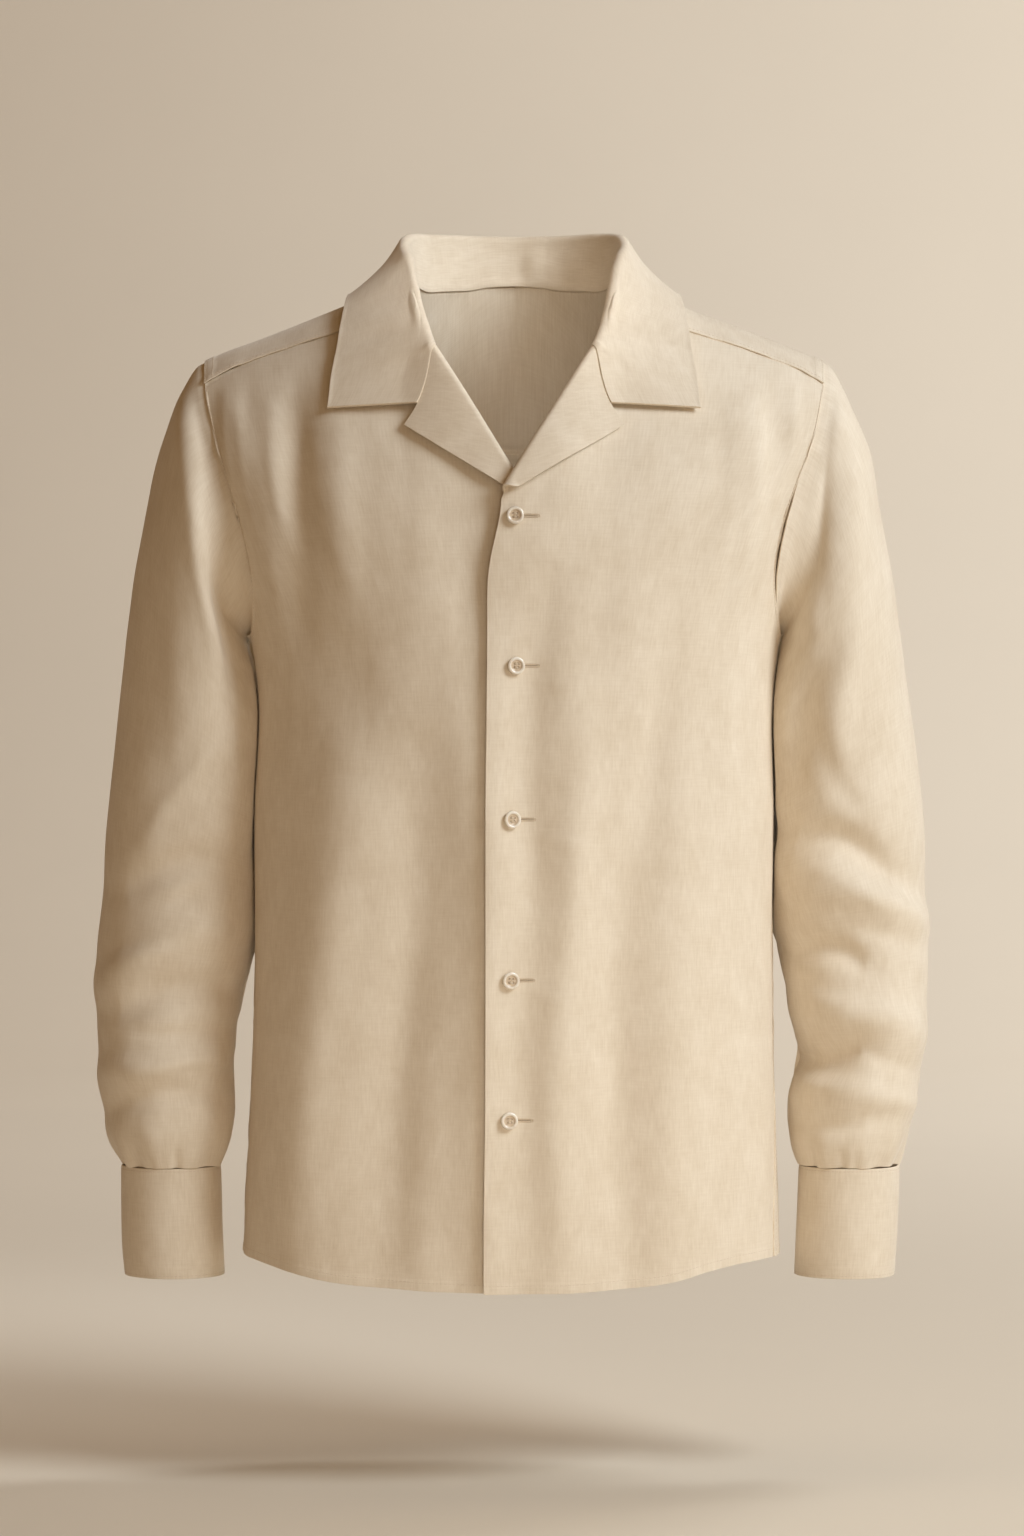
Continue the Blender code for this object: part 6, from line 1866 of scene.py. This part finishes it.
# ---------------------------------------------------------------- settings
class ShirtCloth(bpy.types.PropertyGroup):
    """Thickness and look of the cloth."""

    wall: bpy.props.FloatProperty(name="Wall", description="One layer of cloth", default=1.1 * MM,
                                  min=0.3 * MM, unit="LENGTH")
    double_wall: bpy.props.FloatProperty(name="Double wall", description="Collar and cuffs, two layers",
                                         default=1.8 * MM, min=0.5 * MM, unit="LENGTH")
    edge_round: bpy.props.FloatProperty(name="Edge rounding", description="Radius of cut and turned edges",
                                        default=0.40 * MM, min=0.05 * MM, unit="LENGTH")
    light: bpy.props.FloatVectorProperty(name="Light threads", description="Palest tone of the cloth",
                                         default=(0.925, 0.83, 0.69), subtype="COLOR", min=0, max=1)
    dark: bpy.props.FloatVectorProperty(name="Dark threads", description="Deepest tone of the cloth",
                                        default=(0.71, 0.595, 0.445), subtype="COLOR", min=0, max=1)
    roughness: bpy.props.FloatProperty(name="Roughness", description="How matt the cloth is", default=0.88,
                                       min=0, max=1, subtype="FACTOR")
    sheen: bpy.props.FloatProperty(name="Sheen", description="Light caught by the nap", default=0.28,
                                   min=0, max=1, subtype="FACTOR")
    thread_pitch: bpy.props.FloatProperty(name="Thread pitch", description="Two threads of the weave",
                                          default=0.9 * MM, min=0.1 * MM, unit="LENGTH")


class ShirtStitches(bpy.types.PropertyGroup):
    """Sewing thread."""

    radius: bpy.props.FloatProperty(name="Thread radius", description="Half a thread's width",
                                    default=0.20 * MM, min=0.05 * MM, unit="LENGTH")
    colour: bpy.props.FloatVectorProperty(name="Thread", description="Colour of the thread",
                                          default=(0.72, 0.60, 0.455), subtype="COLOR", min=0, max=1)
    # painted shade: colour of the dark strip laid in each buttonhole slit
    slit: bpy.props.FloatVectorProperty(name="Slit", description="Shade inside a buttonhole",
                                        default=(0.30, 0.215, 0.14), subtype="COLOR", min=0, max=1)


class ShirtButtons(bpy.types.PropertyGroup):
    """Colours of the buttons."""

    # painted reflection: the middle's colours are darker and browner than the rim's, for the reflection in
    # the dish
    middle: bpy.props.FloatVectorProperty(name="Middle", description="The dished middle",
                                          default=(0.74, 0.60, 0.44), subtype="COLOR", min=0, max=1)
    shade: bpy.props.FloatVectorProperty(name="Middle, deep", description="Darker clouds of the middle",
                                         default=(0.58, 0.44, 0.30), subtype="COLOR", min=0, max=1)
    rim: bpy.props.FloatVectorProperty(name="Rim", description="The raised rim", default=(0.93, 0.87, 0.77),
                                       subtype="COLOR", min=0, max=1)
    rim_shade: bpy.props.FloatVectorProperty(name="Rim, deep", description="Darker clouds of the rim",
                                             default=(0.80, 0.70, 0.57), subtype="COLOR", min=0, max=1)


class ShirtStage(bpy.types.PropertyGroup):
    """Backdrop, light and camera."""

    floor: bpy.props.FloatProperty(name="Floor", description="Height of the floor", default=-0.885,
                                   unit="LENGTH")
    backdrop: bpy.props.FloatVectorProperty(name="Backdrop", description="Colour of floor and backdrop",
                                            default=(0.85, 0.76, 0.625), subtype="COLOR", min=0, max=1)
    key_power: bpy.props.FloatProperty(name="Key light", description="Soft light from the right",
                                       default=78.0, min=0, unit="POWER")
    front_power: bpy.props.FloatProperty(name="Front light", description="Weak light beside the camera",
                                         default=3.6, min=0, unit="POWER")
    neck_power: bpy.props.FloatProperty(name="Neck light",
                                        description="Small lamp that reaches inside the collar",
                                        default=0.034, min=0, unit="POWER")
    floor_power: bpy.props.FloatProperty(name="Floor light",
                                         description="Lamp that softens the shadow on the floor",
                                         default=0.35, min=0, unit="POWER")
    low_power: bpy.props.FloatProperty(name="Low light", description="Light that the floor throws on the hem",
                                       default=0.5, min=0, unit="POWER")
    paper_power: bpy.props.FloatProperty(name="Backdrop light", description="Light on the paper behind",
                                         default=228.0, min=0, unit="POWER")
    fill: bpy.props.FloatProperty(name="Surrounding light", description="Light from all round",
                                  default=0.16, min=0)
    camera_distance: bpy.props.FloatProperty(name="Camera distance", description="In front of the centre",
                                             default=3.0, min=0.5, unit="LENGTH")
    lens: bpy.props.FloatProperty(name="Lens", description="Focal length in millimetres", default=95.0,
                                  min=10)


# ---------------------------------------------------------------- pieces
# cut of each piece: width and length of its flat outline in mm, and the cloth's own area in m2
CUTS = {
    "front": (300, 770, 0.190),
    "back": (560, 640, 0.300),
    "yoke": (470, 240, 0.078),
    "sleeve": (420, 610, 0.220),
    "cuff": (262, 84, 0.0205),
    "collar": (560, 118, 0.056),
}
SIDES = ((1, "left"), (-1, "right"))


def sew(shape, node, cut, side=1, double=False, round_by=1.0, held="hung", **closing):
    """Makes a piece of cloth on its shape, ties it to the root body and hides its solid.

    The columns of a piece on the wearer's right are turned round, so its faces point out.
    """
    look = bpy.context.scene.shirt_cloth
    grid, flat = shape[0], shape[2]
    if side < 0:
        grid, flat = grid[:, ::-1], flat[:, ::-1]
    wall = look.double_wall if double else look.wall
    piece = cloth_piece(f"{node}_cloth", grid, flat, cloth_material(look), wall,
                        round_by * look.edge_round, **closing)
    width, length, area = CUTS[cut]
    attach(piece, ROOT)
    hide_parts(node)


class SHIRT_OT_fronts(bpy.types.Operator):
    """Both fronts with their turned-back lapels, hems and armhole bands"""

    bl_idname = "shirt.fronts"
    bl_label = "Fronts"

    def execute(self, context):
        for side, word in SIDES:
            sew(front_shape(side), f"front_{word}", "front", side)
        return {"FINISHED"}


class SHIRT_OT_back_and_yoke(bpy.types.Operator):
    """The back in one piece and the yoke over the shoulders"""

    bl_idname = "shirt.back_and_yoke"
    bl_label = "Back and yoke"

    def execute(self, context):
        sew(back_shape(), "back", "back")
        sew(yoke_shape(), "yoke", "yoke")
        return {"FINISHED"}


class SHIRT_OT_sleeves(bpy.types.Operator):
    """Sleeves with their folds, gathered into the cuffs"""

    bl_idname = "shirt.sleeves"
    bl_label = "Sleeves"

    def execute(self, context):
        for side, word in SIDES:
            sew(sleeve_shape(side), f"sleeve_{word}", "sleeve", side,
                closed=True, closed_by=2 * math.pi * ARM_RADIUS)
        return {"FINISHED"}


class SHIRT_OT_cuffs(bpy.types.Operator):
    """Cuffs buttoned behind the wrist"""

    bl_idname = "shirt.cuffs"
    bl_label = "Cuffs"

    def execute(self, context):
        for side, word in SIDES:
            sew(cuff_shape(side), f"cuff_{word}", "cuff", side, double=True)
        return {"FINISHED"}


class SHIRT_OT_collar(bpy.types.Operator):
    """Camp collar: stand, soft roll and fall, sewn to the lapels at the gorge"""

    bl_idname = "shirt.collar"
    bl_label = "Collar"

    def execute(self, context):
        sew(collar_shape(), "collar", "collar", double=True, round_by=1.5, held="folded")
        return {"FINISHED"}


class SHIRT_OT_stitching(bpy.types.Operator):
    """Rows of stitches along the seams and hems"""

    bl_idname = "shirt.stitching"
    bl_label = "Stitching"

    def execute(self, context):
        thread = context.scene.shirt_stitches
        material = thread_material(thread)
        places, along, out = stitch_rows()
        template, faces = capsule(STITCH_LENGTH, thread.radius, sides=5, sink=0.14 * MM)
        piece = many("stitching", template, faces, places + out * 0.02 * MM, along, out, material)
        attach(piece, ROOT)
        return {"FINISHED"}


class SHIRT_OT_buttonholes(bpy.types.Operator):
    """Close stitches round the slit beside each front button, and a dark strip of painted shade in the slit
    """

    bl_idname = "shirt.buttonholes"
    bl_label = "Buttonholes"

    def execute(self, context):
        thread = context.scene.shirt_stitches
        material = thread_material(thread)
        # material of the strip of painted shade in each slit
        slit = plain_material("shirt_slit", thread.slit, 0.9)
        places, along, out, slit_shades = [], [], [], []
        for x, z in zip(BUTTONS["across"], BUTTONS["height"]):
            ring_x, ring_y, way_x, way_y = buttonhole_ring(x + HOLE_BEGIN, x + HOLE_END, PURL_OFFSET)
            point, across, up, normal = on_front(ring_x, z + ring_y, PURL_LIFT)
            places.append(point)
            along.append(across * way_x[:, None] + up * way_y[:, None])
            out.append(normal)
            # a thin strip of painted shade along each slit
            share = np.linspace(0, 1, 24)
            half = SLIT_HALF * np.sin(math.pi * share) ** 0.35
            line_x = x + HOLE_BEGIN + (HOLE_END - HOLE_BEGIN) * share
            rims = [on_front(line_x, z + half * way, 0.10 * MM)[0] for way in (-1, -0.3, 0.3, 1)]
            slit_shades.append(np.stack(rims))
        template, faces = capsule(PURL_LENGTH, PURL_RADIUS, sides=5, rings=4, sink=0.10 * MM)
        parts = (np.concatenate(part) for part in (places, along, out))
        piece = many("buttonhole_stitches", template, faces, *parts, material)
        for made in [piece] + [self.slit_shade_piece(number, grid, slit) for number, grid in enumerate(slit_shades, 1)]:
            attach(made, ROOT)
        return {"FINISHED"}

    def slit_shade_piece(self, number, grid, material):
        """A very thin strip of painted shade laid in the slit."""
        mesh, _ = quad_mesh(f"buttonhole_slit_{number}", grid)
        mesh.materials.append(material)
        piece = link(mesh.name, mesh)
        thick = piece.modifiers.new("Thickness", "SOLIDIFY")
        thick.thickness = 0.06 * MM
        thick.offset = -1.0
        return piece


class SHIRT_OT_buttons(bpy.types.Operator):
    """Seven buttons and the thread that holds them"""

    bl_idname = "shirt.buttons"
    bl_label = "Buttons"

    def execute(self, context):
        material = button_material(context.scene.shirt_buttons)
        places = button_places()
        for name, place, across, out in places:
            piece = button_piece(name + "_shell", place, across, out, material)
            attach(piece, ROOT)
            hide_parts(name)
        stuff = thread_material(context.scene.shirt_stitches)
        template, faces = capsule(2.7 * HOLE_ACROSS, 0.17 * MM, rings=6, sink=0.6 * MM)
        piece = many("button_threads", template, faces, *button_threads(places), stuff)
        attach(piece, ROOT)
        return {"FINISHED"}


class SHIRT_OT_stage(bpy.types.Operator):
    """Seamless backdrop, soft light from the right and the camera"""

    bl_idname = "shirt.stage"
    bl_label = "Stage"

    def execute(self, context):
        stage = context.scene.shirt_stage
        turn = np.linspace(0, math.pi / 2, 24)
        curve = BACKDROP_WALL - BACKDROP_SWEEP * (1 - np.sin(turn))
        y = np.concatenate([[BACKDROP_NEAR, 0.0], curve, [BACKDROP_WALL]])
        climb = BACKDROP_SWEEP * (1 - np.cos(turn))
        z = np.concatenate([[0.0, 0.0], climb, [BACKDROP_TALL]]) + stage.floor
        x = np.linspace(-BACKDROP_HALF, BACKDROP_HALF, 9)[None, :]
        grid = stack(x, y[:, None], z[:, None])
        mesh, _ = quad_mesh("backdrop", grid)
        mesh.materials.append(plain_material("studio_paper", stage.backdrop, 0.95, grain=0.01, scale=1.5))
        link("backdrop", mesh)
        for name, (place, target, size, spread, colour) in LAMPS.items():
            power = getattr(stage, f"{name}_power")
            self.add_light(f"{name}_light", place, target, size, math.radians(spread), power, colour)
        world = context.scene.world or bpy.data.worlds.new("studio")
        context.scene.world = world
        world.use_nodes = True
        sky = world.node_tree.nodes["Background"]
        sky.inputs["Color"].default_value = SURROUND
        sky.inputs["Strength"].default_value = stage.fill
        camera = bpy.data.objects.new("camera", bpy.data.cameras.new("camera"))
        context.scene.collection.objects.link(camera)
        camera.location = (CAMERA_ACROSS, -stage.camera_distance, CAMERA_HEIGHT)
        camera.rotation_euler = (math.pi / 2, 0, 0)
        camera.data.lens = stage.lens
        camera.data.sensor_width = FILM_WIDTH
        context.scene.camera = camera
        context.scene.view_settings.view_transform = "Standard"
        return {"FINISHED"}

    def add_light(self, name, place, target, size, spread, power, colour):
        """Adds a round lamp that shines at its target."""
        light = bpy.data.lights.new(name, "AREA")
        light.shape = "DISK"
        light.size = size
        light.energy = power
        light.spread = spread
        light.color = colour
        lamp = bpy.data.objects.new(name, light)
        bpy.context.scene.collection.objects.link(lamp)
        lamp.visible_camera = False
        lamp.location = place
        aim = Vector(target) - Vector(place)
        lamp.rotation_euler = aim.to_track_quat("-Z", "Y").to_euler()


# ---------------------------------------------------------------- panel
OPERATORS = (SHIRT_OT_fronts, SHIRT_OT_back_and_yoke, SHIRT_OT_sleeves, SHIRT_OT_cuffs, SHIRT_OT_collar,
             SHIRT_OT_stitching, SHIRT_OT_buttonholes, SHIRT_OT_buttons, SHIRT_OT_stage)
SETTINGS = {"shirt_cloth": ShirtCloth, "shirt_stitches": ShirtStitches, "shirt_buttons": ShirtButtons,
            "shirt_stage": ShirtStage}


class SHIRT_PT_panel(bpy.types.Panel):
    """Settings and steps of the shirt"""

    bl_idname = "SHIRT_PT_panel"
    bl_label = "Camp collar shirt"
    bl_space_type = "VIEW_3D"
    bl_region_type = "UI"
    bl_category = "Shirt"

    def draw(self, context):
        for name, group in SETTINGS.items():
            box = self.layout.box()
            box.label(text=group.__doc__)
            settings = getattr(context.scene, name)
            for prop in group.__annotations__:
                box.prop(settings, prop)
        for operator in OPERATORS:
            self.layout.operator(operator.bl_idname)


def register():
    """Makes the settings, steps and panel known."""
    for group in SETTINGS.values():
        bpy.utils.register_class(group)
    for name, group in SETTINGS.items():
        setattr(bpy.types.Scene, name, bpy.props.PointerProperty(type=group))
    for kind in OPERATORS + (SHIRT_PT_panel,):
        bpy.utils.register_class(kind)


def unregister():
    """Takes them out again."""
    for kind in reversed(OPERATORS + (SHIRT_PT_panel,)):
        bpy.utils.unregister_class(kind)
    for name, group in SETTINGS.items():
        delattr(bpy.types.Scene, name)
        bpy.utils.unregister_class(group)


def main():
    """Builds the shirt and its stage."""
    register()
    for operator in OPERATORS:
        group, name = operator.bl_idname.split(".")
        getattr(getattr(bpy.ops, group), name)()


if __name__ == "__main__":
    main()
